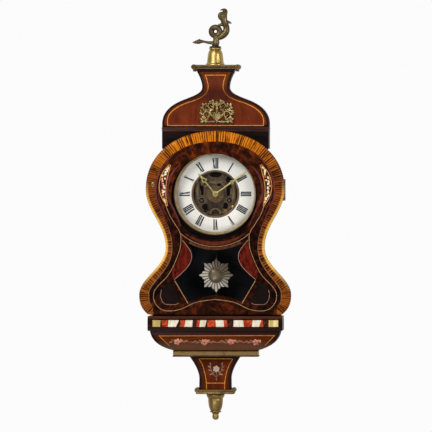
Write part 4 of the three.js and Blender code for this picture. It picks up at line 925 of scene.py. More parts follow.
flowers, leaves = bmesh.new(), bmesh.new()
places = [at_pixel(column, FLOWER_ROW + 0.5 * (index % 2)) for index, column in enumerate(FLOWER_COLUMNS)]
for index, (x, z) in enumerate(places):
    petal_flower(flowers, (x, z), FLOWER_R, 5, corbel_face, index)
    petal_flower(flowers, Vector((x, z)) + BUD_SHIFT, BUD_R, 4, corbel_face, index * 0.7)
    stem_z = z - STEM_DROP
    for reach, rise, width in GARLAND_LEAVES:
        for side in (-1, 1):
            if abs(x + side * reach * MM) < GARLAND_HALF:
                start = x + side * (reach - LEAF_BACK) * MM, stem_z
                tip = x + side * (reach + LEAF_OUT) * MM, z + rise * MM
                flat_leaf(leaves, start, tip, width, corbel_face, LEAF_BEND * side)
    for next_x, _ in places[index + 1:index + 2]:
        shares = [step / 10 for step in range(1, 10)]
        stem = [(x + (next_x - x) * t, stem_z + STEM_WAVE * math.sin(2 * math.pi * t)) for t in shares]
        strip(leaves, stem, STEM_WIDTH, corbel_face, 0.6 * PROUD, STEM_DEPTH)
pink_wood = mottled("pink_wood", (132, 62, 44), (206, 128, 102), (238, 186, 160), 260, 0.34, 0.66, 0.1)
green_wood = mottled("green_wood", (84, 56, 40), (136, 102, 80), (170, 138, 110), 260, 0.34, 0.66, 0.1)
piece("corbel_flowers", "case", flowers, pink_wood, slot="inlay")
piece("corbel_leaves", "case", leaves, green_wood, slot="inlay")

# Base strip: a brass moulding below the corbel, with two fillets and a rounded foot.
# It is nailed on. Its flat face is lit, and the fillets and foot above and below it take a darker copy of the
# brass as painted shade.
base_low, base_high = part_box("base_strip")
BASE_EDGE = 2.0 * MM
BRIGHT_ABOVE, BRIGHT_BELOW = 2.4 * MM, 2.0 * MM
BASE_SECTION = (
    (0.0, 0.6), (-0.4, 1.2), (-1.4, 1.4), (-1.8, 0.8), (-2.2, 0.6), (-2.6, 1.0), (-9.6, 1.2), (-10.0, 0.6),
    (-10.4, 0.6), (-10.8, 1.8), (-12.2, 2.0), (-12.7, 1.4),
)
bm = bmesh.new()
moulding(bm, base_high.x - BASE_EDGE, base_low.y + BASE_EDGE, base_high.y, base_high.z, BASE_SECTION)
# Faces above and below the flat face get the darker brass: painted shade.
for face in bm.faces:
    bright = base_low.z + BRIGHT_ABOVE < face.calc_center_median().z < base_high.z - BRIGHT_BELOW
    face.material_index = 0 if bright else 1
strip_brass = metal("strip_brass", (160, 130, 84), (100, 78, 48), 0.8, 0.36)
strip_shaded_brass = metal("strip_shaded_brass", (88, 66, 40), (44, 32, 20), 0.9, 0.44)
piece(
    "base_strip_moulded", "case", bm, strip_brass, strip_shaded_brass, smooth=40, stands_for="base_strip",
    slot="brass",
)

# Neck: a waisted block below the strip, veneered red-brown with dark edges, with stringing and one
# inlaid flower on curved stems.
neck_low, neck_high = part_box("neck_block")
LOWER_DROP, LOWER_SHIFT = 4.0, (-1.6 * MM, 0, 0)
NECK_TOP_HALF, NECK_WAIST_HALF, NECK_FOOT_HALF, NECK_SET_BACK = 48.8, 30.9, 31.4, 20
NECK_DROPS = (6.0, 25.2, 43.2)
NECK_NOSE_HANDLE, NECK_SIDE_HANDLE, NECK_STRING_WIDTH = 12, 3.6, 1.15
NECK_STRINGS = (
    ((199.1, 359.4), (202.6, 366.0), (204.9, 375.0), (206.0, 382.0), (206.3, 389.8)),
    ((233.0, 359.2), (229.0, 366.0), (226.2, 374.0), (224.8, 382.0), (224.5, 389.8)),
    ((199.6, 359.2), (216.0, 359.2), (232.6, 359.2)), ((206.6, 383.7), (215.5, 383.7), (224.4, 383.7)),
)
SPRAY_COLUMN, SPRAY_ROW = 216.2, 369.4
SPRAY_STEM = ((0, 377.5), (3, 374.5), (5.4, 369.5), (6, 365))
SPRAY_STALK = ((SPRAY_COLUMN, 371), (SPRAY_COLUMN + 0.3, 376), (SPRAY_COLUMN, 381))
SPRAY_LEAVES = (
    (2.6, 375.0, 6.8, 375.4), (4.4, 371.8, 8.2, 370.6), (5.2, 369.0, 8.6, 366.4), (5.8, 366.0, 6.8, 362.4),
    (3.4, 374.0, 2.6, 371.6),
)
neck_top, neck_foot = neck_high.z / MM, neck_low.z / MM - LOWER_DROP
neck_front = neck_low.y / MM


def neck_curve(top, handle, waist, foot):
    levels = [neck_top - drop for drop in NECK_DROPS]
    span = ((handle, levels[0]), (waist, levels[1]), (waist, levels[2]), 30)
    return curve((top, neck_top), span) + [Vector((foot, neck_foot))]


neck_back = neck_front + NECK_SET_BACK
neck_nose = neck_curve(neck_front, neck_front + NECK_NOSE_HANDLE, neck_back, neck_back)
neck_side = neck_curve(NECK_TOP_HALF, NECK_TOP_HALF - NECK_SIDE_HANDLE, NECK_WAIST_HALF, NECK_FOOT_HALF)


def neck_face(x, z):
    return at_level(neck_nose, z / MM) * MM


def lower_piece(name, bm, material, **settings):
    """A piece of the clock's lower end, which hangs a little to the left."""
    bmesh.ops.translate(bm, verts=bm.verts, vec=LOWER_SHIFT)
    piece(name, "case", bm, material, **settings)


def pixel_path(points, steps=8):
    """Photograph pixels as a smooth line in the front plane, in metres."""
    return [Vector(at_pixel(column, row)) for column, row in smooth_path(points, steps)]


neck_veneer = edge_stained("neck_veneer", (56, 20, 2), (106, 39, 5), (60, 25, 8), (1, 1, 0.2), 5.0, 9.5)
bm = shaped_block(neck_side, neck_face, neck_high.y)
lower_piece("neck_veneered", bm, neck_veneer, stands_for="neck_block", slot="veneer")
bm = bmesh.new()
for points in NECK_STRINGS:
    strip(bm, pixel_path(points), NECK_STRING_WIDTH, neck_face)
lower_piece("neck_stringing", bm, boxwood, slot="inlay")
flowers, leaves = bmesh.new(), bmesh.new()
spray = at_pixel(SPRAY_COLUMN, SPRAY_ROW)
petal_flower(flowers, spray, 6.2, 6, neck_face, 0.4)
petal_flower(flowers, spray, 2.6, 5, neck_face, 0.1, 1.4 * PROUD + 0.3 * MM)
for side in (-1, 1):
    stem = pixel_path([(SPRAY_COLUMN + side * along, row) for along, row in SPRAY_STEM], 6)
    strip(leaves, stem, STEM_WIDTH, neck_face, 0.6 * PROUD, STEM_DEPTH)
    for along, row, tip_along, tip_row in SPRAY_LEAVES:
        start, tip = (at_pixel(SPRAY_COLUMN + side * a, r) for a, r in ((along, row), (tip_along, tip_row)))
        flat_leaf(leaves, start, tip, 3.2, neck_face, 0.12 * side)
strip(leaves, pixel_path(SPRAY_STALK), 1.0, neck_face, 0.6 * PROUD, STEM_DEPTH)
grey_bone = wood("grey_bone", (150, 132, 116), (206, 190, 172), scale=420, coat=0.3)
lower_piece("neck_flower", flowers, grey_bone, slot="inlay")
lower_piece("neck_leaves", leaves, green_wood, slot="inlay")

# Lower cap: an old brass plate below the neck, with two ears that scroll up beside it.
# It matches the cap of the crest and is screwed to the foot of the neck.
lower_low, lower_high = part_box("lower_cap")
EAR_R = 4.8 * MM
LOWER_SECTION = (
    (0.0, -1.2), (-0.6, -0.5), (-2.6, -0.3), (-3.2, -0.9), (-3.8, -0.9), (-4.4, -0.3), (-7.4, -0.3),
    (-8.4, -0.9), (-9.0, -2.4),
)
ear_depth = (lower_high.y - lower_low.y) / MM
ear = (
    (0, 0.3), (0.2, 0.3), (0.3, 1.2), (0.46, 1.2), (0.56, 0.1), (0.88, 0.1), (1.0, 1.2), (1.0, ear_depth),
    (0, ear_depth),
)
ear_x = lower_high.x - EAR_R
plate_top = (neck_foot - 0.2) * MM
bm = bmesh.new()
moulding(bm, ear_x + EAR_R * 0.5, lower_low.y, lower_high.y, plate_top, LOWER_SECTION)
for side in (-1, 1):
    lathe(bm, ear, (side * ear_x, lower_low.y, plate_top - 1.0 * MM), 40, scale=(EAR_R, MM))
lower_piece("lower_cap_scrolled", bm, cap_brass, stands_for="lower_cap", slot="brass")

# Pendant: a turned brass drop with a cup, two rings and a ball.
# It is turned from one bar and screwed up into the lower cap.
drop_low, drop_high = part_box("pendant")
drop_rise = (drop_high.z - drop_low.z) / MM
DROP_PROFILE = (
    (0, 0), (0.13, 0.2), (0.26, 1.4), (0.34, 3.4), (0.37, 6.0), (0.36, 8.4), (0.33, 10.2), (0.31, 11.0),
    (0.36, 11.6), (0.42, 12.6), (0.42, 13.4), (0.36, 14.0), (0.5, 14.4), (0.62, 15.0), (0.65, 16.0),
    (0.62, 17.2), (0.54, 17.8), (0.55, 18.6), (0.6, 19.4), (0.66, 21.6), (0.72, 24.6), (0.77, 28.6),
    (0.8, 33.0), (0.82, 37.0), (0.83, 40.4), (0.81, 41.0), (0.8, 41.4), (0.84, 42.0), (0.88, 43.4),
    (0.94, 45.4), (1.0, 47.0), (1.0, drop_rise - 0.6), (0.97, drop_rise), (0, drop_rise),
)
bm = bmesh.new()
drop_foot = (0, (drop_low.y + drop_high.y) / 2, drop_low.z - LOWER_DROP * MM)
lathe(bm, DROP_PROFILE, drop_foot, 72, upright=True, scale=(drop_high.x, MM))
pendant_brass = metal("pendant_brass", (178, 148, 90), (92, 74, 42), 0.9, 0.38, 0.15)
lower_piece("pendant_turned", bm, pendant_brass, smooth=45, stands_for="pendant", slot="brass")

# Door: one waisted frame with a rounded edge. Cross-banding runs round it with its grain square to the
# edge, orange at the top and browner at the sides, and thins at the waist.
door_low, door_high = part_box("door_frame")
door_front, door_back = door_low.y, door_high.y
DOOR_APEX_Z, DOOR_FOOT_Z = 123.0, -235.0
UPPER_HALF, UPPER_Z = 135.5, 9.0
WAIST_HALF, WAIST_Z = 96.5, -104.0
LOWER_HALF, LOWER_Z = 148.2, -197.0
DOOR_FOOT_HALF = 131.0
# Banding widths by level, and the section of the door's edge as (distance in, distance behind the front)
BAND_WIDTHS = (
    (20.5, DOOR_APEX_Z), (20.0, 70.0), (18.0, UPPER_Z), (13.0, -70.0), (12.0, WAIST_Z), (16.0, -165.0),
    (18.5, LOWER_Z), (17.0, DOOR_FOOT_Z),
)
FLAT_FROM = 5.6
EDGE_SECTION = ((0.8, 20.0), (0.0, 18.6), (0.0, 6.4), (0.5, 4.0), (1.7, 2.0), (3.4, 0.8), (FLAT_FROM, 0.25))
BAND_STEPS = 5
upper_drop, lower_drop, foot_drop = UPPER_Z - WAIST_Z, WAIST_Z - LOWER_Z, LOWER_Z - DOOR_FOOT_Z
foot_handle = DOOR_FOOT_HALF + (LOWER_HALF - DOOR_FOOT_HALF) * 0.64, DOOR_FOOT_Z + foot_drop * 0.24
door_edge = curve(
    (0, DOOR_APEX_Z),
    ((UPPER_HALF * 0.53, DOOR_APEX_Z), (UPPER_HALF, UPPER_Z + (DOOR_APEX_Z - UPPER_Z) * 0.64),
     (UPPER_HALF, UPPER_Z), 90),
    ((UPPER_HALF, UPPER_Z - upper_drop * 0.37), (WAIST_HALF, WAIST_Z + upper_drop * 0.39),
     (WAIST_HALF, WAIST_Z), 60),
    ((WAIST_HALF, WAIST_Z - lower_drop * 0.42), (LOWER_HALF, LOWER_Z + lower_drop * 0.36),
     (LOWER_HALF, LOWER_Z), 60),
    ((LOWER_HALF, LOWER_Z - foot_drop * 0.5), foot_handle, (DOOR_FOOT_HALF, DOOR_FOOT_Z), 24),
)


def edge_inset(distance, bands=0):
    """The door's edge moved in by a distance and by the banding's width, with its foot kept level."""
    moved = []
    befores, afters = flipped(door_edge[1:2]) + door_edge, door_edge[1:] + door_edge[-1:]
    for before, point, after in zip(befores, door_edge, afters):
        side = -(after - before).normalized().orthogonal()
        place = point + side * (distance + bands * at_level(BAND_WIDTHS, point.y))
        moved.append(Vector((place.x, max(place.y, DOOR_FOOT_Z))))
    moved[-1].y = DOOR_FOOT_Z
    return moved


def at_depth(path, y):
    """A path of the front plane in millimetres, as places in metres."""
    return [(point.x * MM, y, point.y * MM) for point in path]


band_inner, flat_start = edge_inset(0, 1), edge_inset(FLAT_FROM)
lengths = [0.0]
for one, other in zip(door_edge, door_edge[1:]):
    lengths.append(lengths[-1] + (other - one).length)
rings = [
    (edge_inset(inset), door_front + depth * MM, [inset - 0.6 * max(depth - 4, 0)] * len(door_edge))
    for inset, depth in EDGE_SECTION
]
for share in (step / BAND_STEPS for step in range(1, BAND_STEPS + 1)):
    run = [start.lerp(end, share) for start, end in zip(flat_start, band_inner)]
    reach = [FLAT_FROM + (at_level(BAND_WIDTHS, point.y) - FLAT_FROM) * share for point in door_edge]
    rings.append((run, door_front + 0.2 * MM, reach))
bm = bmesh.new()
along_layer, across_layer = (bm.verts.layers.float.new(name) for name in ("along", "across"))
rows = skin(bm, [at_depth(mirrored(run), y) for run, y, _ in rings], closed=False)
for row, (_, _, reach) in zip(rows, rings):
    for vertex, along, across in zip(row, lengths[::-1] + lengths, reach[::-1] + reach):
        vertex[along_layer], vertex[across_layer] = along, across

crossband, shader = polished("crossband", 0.05, 0.1)
along, across = attribute(shader, "along"), attribute(shader, "across")
place = split(object_vector(shader))
level = place["Z"]
grain = add(shader.id_data, "CombineXYZ", {
    0: arithmetic("MULTIPLY", along, 0.26), 1: arithmetic("MULTIPLY", across, 0.02),
    2: arithmetic("SIGN", place["X"]),
}).outputs[0]
stripes, broad = noise(grain, 1.0, 4, 0.72, 0.1), noise(grain, 0.16, 2, 0.5)
phase = arithmetic("MULTIPLY_ADD", along, 1.35, arithmetic("MULTIPLY", stripes, 14.0))
figure = arithmetic("MULTIPLY_ADD", broad, 0.5, stripes)
share = spread(arithmetic("MULTIPLY_ADD", arithmetic("SINE", phase), 0.12, figure), 0.64, 0.88)
brighter = arithmetic("MAXIMUM", spread(level, 0.03, 0.1), spread(level, -0.06, -0.16, 0.0, 0.16))
light, dark = mixed(brighter, (132, 66, 22), (218, 126, 22)), mixed(brighter, (34, 12, 5), (64, 22, 3))
# A highlight is painted on the rim between the upper lobe and the lower one, where its rounded edge catches the
# light
rim = spread(across, 6.0, 2.6)
for part in (
    spread(level, 0.03, -0.02), spread(level, -0.19, -0.14), spread(across, -2.4, 0.2),
    spread(share, 0.0, 1.0, 0.72, 1.0),
):
    rim = arithmetic("MULTIPLY", rim, part)
feed(shader, {
    "Base Color": mixed(rim, mixed(share, dark, light), (255, 196, 92)),
    "Roughness": spread(stripes, 0.3, 0.7, 0.4, 0.24),
})
bump(shader, stripes, 0.1, 0.3 * MM)
piece("door_crossband", "door", bm, crossband, smooth=60, stands_for="door_frame", slot="veneer")

# Burl panel: dark mottled veneer inside the banding, with a round hole for the dial and a shaped window.
# It is cut as one thin sheet and glued to the door frame.
APERTURE, APERTURE_R = (-1.6, -5.3), 84.0
WINDOW_TOP_R, WINDOW_TOP_TURN = 107.0, 28.4
WINDOW_SIDE = ((51.0, -94.1), (46.5, -108.0), (46.0, -123.0), (50.5, -140.0), (64.0, -154.5), (80.0, -166.0))
WINDOW_FOOT_HALF, WINDOW_FOOT_Z, WINDOW_ARCH = 51.0, -211.0, 13.0
PANEL_EDGES = 0.5 * MM, 1.3 * MM
panel_y = door_front + 0.45 * MM


def arc(centre, radius, first, last, steps):
    """Points of an arc between two angles in degrees."""
    turns = [math.radians(first + (last - first) * step / steps) for step in range(steps + 1)]
    return [Vector((centre[0] + radius * math.cos(a), centre[1] + radius * math.sin(a))) for a in turns]


def circle(centre, radius, segments=120):
    return arc(centre, radius, 0, 360, segments)[:-1]


def filled(bm, loops, y):
    """Fills the space between an outer loop and the holes in it, in a plane of constant y."""
    rings = [[bm.verts.new(place) for place in at_depth(loop, y)] for loop in loops]
    edges = [bm.edges.new((ring[index - 1], ring[index])) for ring in rings for index in range(len(ring))]
    bmesh.ops.triangle_fill(bm, use_beauty=True, use_dissolve=False, edges=edges, normal=(0, -1, 0))
    return rings


def walled(bm, ring, *depths):
    """Walls from a ring of vertices through places at other depths."""
    for y in depths:
        deeper = [bm.verts.new((vertex.co.x, y, vertex.co.z)) for vertex in ring]
        for index in range(len(ring)):
            bm.faces.new((ring[index - 1], ring[index], deeper[index], deeper[index - 1]))
        ring = deeper


def whole(path):
    """The closed outline of a right half that starts on the middle line."""
    return flipped(path[:0:-1]) + path


window_half = arc((0, 0), WINDOW_TOP_R, -90, WINDOW_TOP_TURN - 90, 10)[:-1]
window_half += [Vector(point) for point in smooth_path(WINDOW_SIDE, 6)]
for share in (1 - step / 12 for step in range(13)):
    arch_z = WINDOW_FOOT_Z + WINDOW_ARCH * (1 - share ** 2)
    window_half.append(Vector((WINDOW_FOOT_HALF * share, arch_z)))
window = window_half + flipped(window_half[-2:0:-1])
bm = bmesh.new()
for ring in filled(bm, [whole(band_inner), circle(APERTURE, APERTURE_R), window], panel_y)[1:]:
    walled(bm, ring, *(panel_y + edge for edge in PANEL_EDGES))
burl, shader = polished("burl", 0.04, 0.1)
vector = object_vector(shader)
level = split(vector)["Z"]
swirl, mottle = noise(vector, 38, 5, 0.65, 1.6), noise(vector, 130, 4, 0.7, 0.8)
cells = add(shader.id_data, "TexVoronoi", {"Vector": vector, "Scale": 95}, feature="SMOOTH_F1")
eyes = cells.outputs["Distance"]
figure = arithmetic("MULTIPLY_ADD", eyes, -0.25, arithmetic("MULTIPLY_ADD", mottle, 0.45, swirl))
figured = ramp(figure, ((0.4, (8, 4, 3)), (0.62, (48, 17, 6)), (0.86, (110, 44, 12))))
upper_shade, lower_shade = spread(level, -0.075, -0.02, 0.34, 1.0), spread(level, -0.198, -0.214, 0.34, 0.68)
feed(shader, {
    "Base Color": mixed(1.0, figured, arithmetic("MAXIMUM", upper_shade, lower_shade), "MULTIPLY"),
    "Roughness": spread(mottle, 0.3, 0.7, 0.28, 0.42),
})
bump(shader, mottle, 0.08, 0.3 * MM)
piece("door_burl", "door", bm, burl, slot="veneer")

# Door back: the plain inside of the frame with the walls of its two holes, the door's black foot and a
# recess round the dial, painted black as shade.
RECESS = ((80.8, 9.0), (86.0, 8.6), (91.0, 1.8))
BACK_INSET, BACK_HOLE_R = 0.8, 81.0
DIAL_WALL, WINDOW_WALL, FOOT_SET_BACK = 8.0 * MM, 18.4 * MM, 0.5 * MM
back_y = door_back - 0.1 * MM
bm = bmesh.new()
loops = whole(edge_inset(BACK_INSET)), circle((0, 0), BACK_HOLE_R), window
_, dial_hole, window_hole = filled(bm, loops, back_y)
walled(bm, dial_hole, back_y - DIAL_WALL)
walled(bm, window_hole, back_y - WINDOW_WALL)
piece("door_back", "door", bm, rosewood, slot="veneer")
bm = bmesh.new()
foot_x, foot_y = DOOR_FOOT_HALF * MM, door_front + FOOT_SET_BACK
foot_corners = ((-foot_x, door_back), (-foot_x, foot_y), (foot_x, foot_y), (foot_x, door_back))
bm.faces.new([bm.verts.new((x, y, DOOR_FOOT_Z * MM)) for x, y in foot_corners])
piece("door_foot", "door", bm, ebony, slot="veneer")
bm = bmesh.new()
skin(bm, [at_depth(circle((0, 0), radius, 96), door_front + depth * MM) for radius, depth in RECESS])
# Flat black that stands for shadow: painted shade here in the dial recess, and further on in the keyhole and
# the movement's plate holes.
painted_shade_black = wood("painted_shade_black", (7, 6, 8), (16, 13, 13), scale=90, coat=0.0, lift=0.1)
piece("dial_recess", "door", bm, painted_shade_black, slot="ebonised")

# Stringing of the door: one pale line round the waist and the lower lobes, a circle below the dial, and
# thinner lines along the inside of the banding.
WAIST_LINE = (
    (165.4, 204.0), (167.2, 209.4), (170.0, 216.0), (175.2, 224.6), (179.6, 231.4), (180.9, 239.0),
    (179.1, 251.8), (169.5, 273.2), (157.4, 286.6), (153.6, 293.6), (154.4, 301.6), (159.4, 308.2),
    (167.4, 310.9), (180.2, 309.4), (196.3, 302.3), (215.0, 299.4),
)
WAIST_LINE_WIDTH, DIAL_LINE_WIDTH = 1.1, 1.0
# Radius about the dial and top
DIAL_LINE = 101.0, -74.0
# Distance inside the banding, width, foot and top
BROWN_LINE = 0.6, 1.3, -222, -56
PURPLE_LINES = ((1.6, 3.0, -70, 78), (7.4, 1.5, -60, 60), (24.5, 5.0, -64, 56))


def flat_at(y):
    """A face that is flat at one depth."""
    return lambda x, z: y


on_panel = flat_at(panel_y)


def under_dial(radius, top):
    """The part of a circle about the dial that is below a level, in metres."""
    return [point * MM for point in circle((0, -1.5), radius, 240) if point.y < top]


def sliver(bm, path, width):
    """A flat strip that runs out to a point at both ends, on the panel."""
    sides = ([], [])
    for index, point in enumerate(path):
        ahead = path[min(index + 1, len(path) - 1)] - path[max(index - 1, 0)]
        share = index / (len(path) - 1)
        swell = width * MM / 2 * math.sin(math.pi * (0.02 + 0.96 * share)) ** 0.6
        out = ahead.normalized().orthogonal() * swell
        for edge, place in zip(sides, (point + out, point - out)):
            edge.append((place.x, panel_y - PROUD, place.y))
    skin(bm, sides, closed=False)


def banding_slivers(bm, distance, width, foot, top):
    """Slivers inside the banding of both sides, between two levels."""
    path = [point * MM for point in edge_inset(distance, 1) if foot < point.y < top]
    sliver(bm, path, width)
    sliver(bm, flipped(path), width)


waist_left = pixel_path(WAIST_LINE)
bm = bmesh.new()
strip(bm, waist_left + flipped(waist_left[-2::-1]), WAIST_LINE_WIDTH, on_panel)
strip(bm, under_dial(*DIAL_LINE), DIAL_LINE_WIDTH, on_panel)
pale_wood = wood("pale_wood", (122, 90, 60), (190, 150, 106))
piece("door_stringing", "door", bm, pale_wood, slot="inlay")
bm = bmesh.new()
banding_slivers(bm, *BROWN_LINE)
piece("banding_line_low", "door", bm, wood("brown_line", (104, 74, 56), (158, 122, 94)), slot="inlay")
bm = bmesh.new()
for purple_line in PURPLE_LINES:
    banding_slivers(bm, *purple_line)
purple_wood = wood("purple_wood", (62, 24, 22), (118, 60, 56), (1, 1, 0.2), 120)
piece("purple_lines", "door", bm, purple_wood, slot="inlay")

# Crescents beside the dial: lenses of dark shell set with chips of pearl, bone, red and horn, between
# two light lines.
LENS_OUTER = ((169.6, 164.6), (163.2, 171.6), (159.9, 180.0), (159.2, 188.6), (161.6, 197.4), (166.8, 206.0))
LENS_INNER = ((170.6, 165.0), (168.6, 172.6), (166.6, 180.6), (165.7, 188.8), (166.0, 197.2), (167.6, 206.0))
LENS_SHIFTS = ((1, 0.0), (-1, 1.6 * MM))
CHIPS, CHIP_CORNERS, CHIP_REACH = 40, 5, 2.1 * MM
LENS_LINE_WIDTH = 1.2
CHIP_FINISHES = (0, 1, 2, 3, 0, 3, 0, 2)
lens_outer, lens_inner = pixel_path(LENS_OUTER, 16), pixel_path(LENS_INNER, 16)
chance = random.Random(11)


def along_path(path, share):
    index = min(int(share * (len(path) - 1)), len(path) - 2)
    return path[index].lerp(path[index + 1], share * (len(path) - 1) - index)


def sided(path, side, shift=0.0):
    """A path as it is, or its mirror image where the side is -1."""
    return [Vector((side * x + shift, z)) for x, z in path]


grounds, chips, lines = bmesh.new(), bmesh.new(), bmesh.new()
for side, shift in LENS_SHIFTS:
    lay(grounds, sided(lens_outer + lens_inner[-2:0:-1], side, shift), on_panel)
    for index in range(CHIPS):
        share = 0.06 + 0.88 * (index + 0.5) / CHIPS
        near, far = along_path(lens_outer, share), along_path(lens_inner, share)
        centre = near.lerp(far, chance.uniform(0.22, 0.78))
        reach = min(CHIP_REACH, (far - near).length * 0.3)
        turn = chance.uniform(0, math.pi)
        corners = []
        for angle in (turn + 2 * math.pi * corner / CHIP_CORNERS for corner in range(CHIP_CORNERS)):
            out = Vector((math.cos(angle), math.sin(angle) * 1.25))
            corners.append(centre + reach * chance.uniform(0.65, 1.2) * out)
        chip = lay(chips, sided(corners, side, shift), on_panel, PROUD * (1.6 + 0.02 * index))
        chip.material_index = chance.choice(CHIP_FINISHES)
    for path in (lens_outer, lens_inner):
        strip(lines, sided(path, side, shift), LENS_LINE_WIDTH, on_panel, 3 * PROUD)
pearl = mottled("pearl", (196, 172, 140), (236, 222, 200), (252, 246, 236), 240, 0.32, 0.66, 0.4)
gold_line = wood("gold_line", (176, 116, 52), (232, 178, 100), coat=0.15)
piece("crescent_grounds", "door", grounds, dark_shell, slot="inlay")
piece("crescent_chips", "door", chips, pearl, bone, red_bone, horn, slot="inlay")
piece("crescent_lines", "door", lines, gold_line, slot="inlay")

# Red crescents, drops and rails round the window: red shell with a pale rim, dark shell drops, and a
# pale rail along each lower side of the window.
CRESCENT_IN = (
    (182.2, 240.0), (187.4, 246.4), (191.0, 252.6), (191.4, 259.0), (188.2, 266.0), (181.6, 273.2),
    (174.2, 279.6),
)
CRESCENT_OUT = (
    (182.0, 240.2), (181.4, 247.0), (179.6, 254.6), (176.6, 262.0), (172.4, 271.0), (172.4, 276.6),
    (174.0, 279.4),
)
DROP = (
    (163.4, 286.6), (168.4, 283.4), (172.6, 285.4), (175.6, 292.0), (178.6, 299.4), (177.4, 303.8),
    (170.6, 304.6), (164.2, 303.6), (160.8, 297.6), (161.2, 290.6), (163.4, 286.6),
)
RAIL = ((174.6, 280.6), (188.0, 303.4))
CRESCENT_RIM_WIDTH, DROP_RIM_WIDTH, RAIL_WIDTH = 1.1, 0.9, 1.3
crescent_in, crescent_out, drop_path = pixel_path(CRESCENT_IN), pixel_path(CRESCENT_OUT), pixel_path(DROP, 6)
drop_rim = drop_path[len(drop_path) // 2 - 2:-5]
reds, drops, rims, rails = bmesh.new(), bmesh.new(), bmesh.new(), bmesh.new()
for side in (1, -1):
    lay(reds, sided(crescent_in + crescent_out[-2:0:-1], side), on_panel, 1.2 * PROUD)
    lay(drops, sided(drop_path[:-1], side), on_panel, 1.2 * PROUD)
    strip(rims, sided(crescent_in, side), CRESCENT_RIM_WIDTH, on_panel, 2 * PROUD)
    strip(rims, sided(drop_rim, side), DROP_RIM_WIDTH, on_panel, 2 * PROUD)
    strip(rails, sided([at_pixel(*pixel) for pixel in RAIL], side), RAIL_WIDTH, on_panel, 3 * PROUD)
red_shell, shader = polished("red_shell", 0.15, 0.06)
clouds = noise(object_vector(shader, (1, 1, 0.45), (0, 0.5, 0)), 90, 5, 0.7, 1.0)
feed(shader, {
    "Base Color": ramp(clouds, ((0.36, (34, 6, 4)), (0.72, (124, 36, 22)))),
    "Roughness": spread(clouds, 0.3, 0.7, 0.3, 0.16),
})
bump(shader, clouds, 0.1)
drop_shell = wood("drop_shell", (9, 7, 7), (28, 15, 13), scale=70, coat=0.15)
pink_line = wood("pink_line", (118, 82, 72), (172, 136, 120), coat=0.3)
piece("red_crescents", "door", reds, red_shell, slot="inlay")
piece("dark_drops", "door", drops, drop_shell, slot="inlay")
piece("crescent_rims", "door", rims, pink_line, slot="inlay")
piece("window_rails", "door", rails, pale_wood, slot="inlay")

# Bands between the dial and the window: a brown one along the window's top, and a redder one above the
# pale line that runs out to a point at both ends.
WINDOW_BAND, WINDOW_BAND_WIDTH = (105.2, -93.0), 5.0
DIAL_BAND, DIAL_BAND_WIDTH = (95.2, -76.0), 7.2
bm = bmesh.new()
strip(bm, under_dial(*WINDOW_BAND), WINDOW_BAND_WIDTH, on_panel, 0.6 * PROUD)
brown_band = wood("brown_band", (46, 24, 14), (104, 60, 36), scale=120, coat=0.35)
piece("window_band", "door", bm, brown_band, slot="veneer")
bm = bmesh.new()
sliver(bm, under_dial(*DIAL_BAND), DIAL_BAND_WIDTH)
piece("dial_band", "door", bm, wood("red_band", (46, 18, 10), (106, 48, 27), scale=120), slot="veneer")

# Lock escutcheon: a small oval of dark brass with a keyhole, let into the banding at the left.
# It stands slightly proud of the veneer, in front of the lock.
KEY_PIXEL = 152.8, 184.6
# Half width, half height and depth behind the door's front
OVAL_SECTION = ((2.6, 4.8, 0.6), (2.6, 4.8, -0.1), (2.6 * 0.78, 4.8 * 0.84, -0.35))
KEYHOLE_R, KEYHOLE_RISE, KEYHOLE_PROUD = 1.1, 1.0, 0.4 * MM
KEYHOLE_FOOT = (-0.9, -2.8), (0.9, -2.8)
key_x, key_z = at_pixel(*KEY_PIXEL)
bm = bmesh.new()
rows = skin(bm, [
    [(key_x + half * x * MM, door_front + depth * MM, key_z + tall * z * MM)
     for x, z in circle((0, 0), 1.0, 32)]
    for half, tall, depth in OVAL_SECTION
])
bm.faces.new(rows[-1])
old_brass = metal("old_brass", (176, 152, 100), (104, 84, 52), 0.8, 0.34)
piece("escutcheon", "door", bm, old_brass, slot="brass")
bm = bmesh.new()
# Painted shade: the keyhole is a flat black shape laid on the escutcheon in place of the dark hole.
keyhole = arc((0, KEYHOLE_RISE), KEYHOLE_R, -50, 230, 16) + [Vector(point) for point in KEYHOLE_FOOT]
lay(bm, [Vector((key_x, key_z)) + point * MM for point in keyhole], flat_at(door_front), KEYHOLE_PROUD)
piece("keyhole", "door", bm, painted_shade_black, slot="ebonised")

# Bezel: a turned ring of old brass with a rounded outer rim, a groove and an inner lip that sits a
# little high and to the right of the dial.
bezel_low, bezel_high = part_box("dial_bezel")
LIP_R, LIP_SHIFT = 75.5, 1.2 * MM
bezel_r, bezel_depth = bezel_high.x / MM, (bezel_high.y - bezel_low.y) / MM
# Distance in from the rim, and depth behind the front
RIM_SECTION = (
    (0, 6), (0.3, 2.6), (1.0, 0.8), (1.8, 0.1), (2.6, 0.3), (3.0, 1.3), (3.3, 1.4), (3.6, 0.9), (4.4, 1.1),
)
bm = bmesh.new()
lathe(bm, [
    (LIP_R, bezel_depth), (bezel_r - 0.4, bezel_depth), (bezel_r, bezel_depth - 0.4),
    *((bezel_r - inset, depth) for inset, depth in RIM_SECTION),
    (LIP_R + 0.6, 2.4), (LIP_R, 5.4), (LIP_R, bezel_depth),
], (0, bezel_low.y, 0), 128)
for vertex in bm.verts:
    from_rim = (bezel_r - vertex.co.xz.length / MM) / (bezel_r - LIP_R)
    vertex.co += Vector((LIP_SHIFT, 0, LIP_SHIFT)) * max(from_rim, 0)
bezel_brass = metal("bezel_brass", (172, 148, 108), (112, 92, 64), 0.8, 0.34, metallic=0.55)
piece("bezel_turned", "door", bm, bezel_brass, smooth=40, stands_for="dial_bezel", slot="brass")

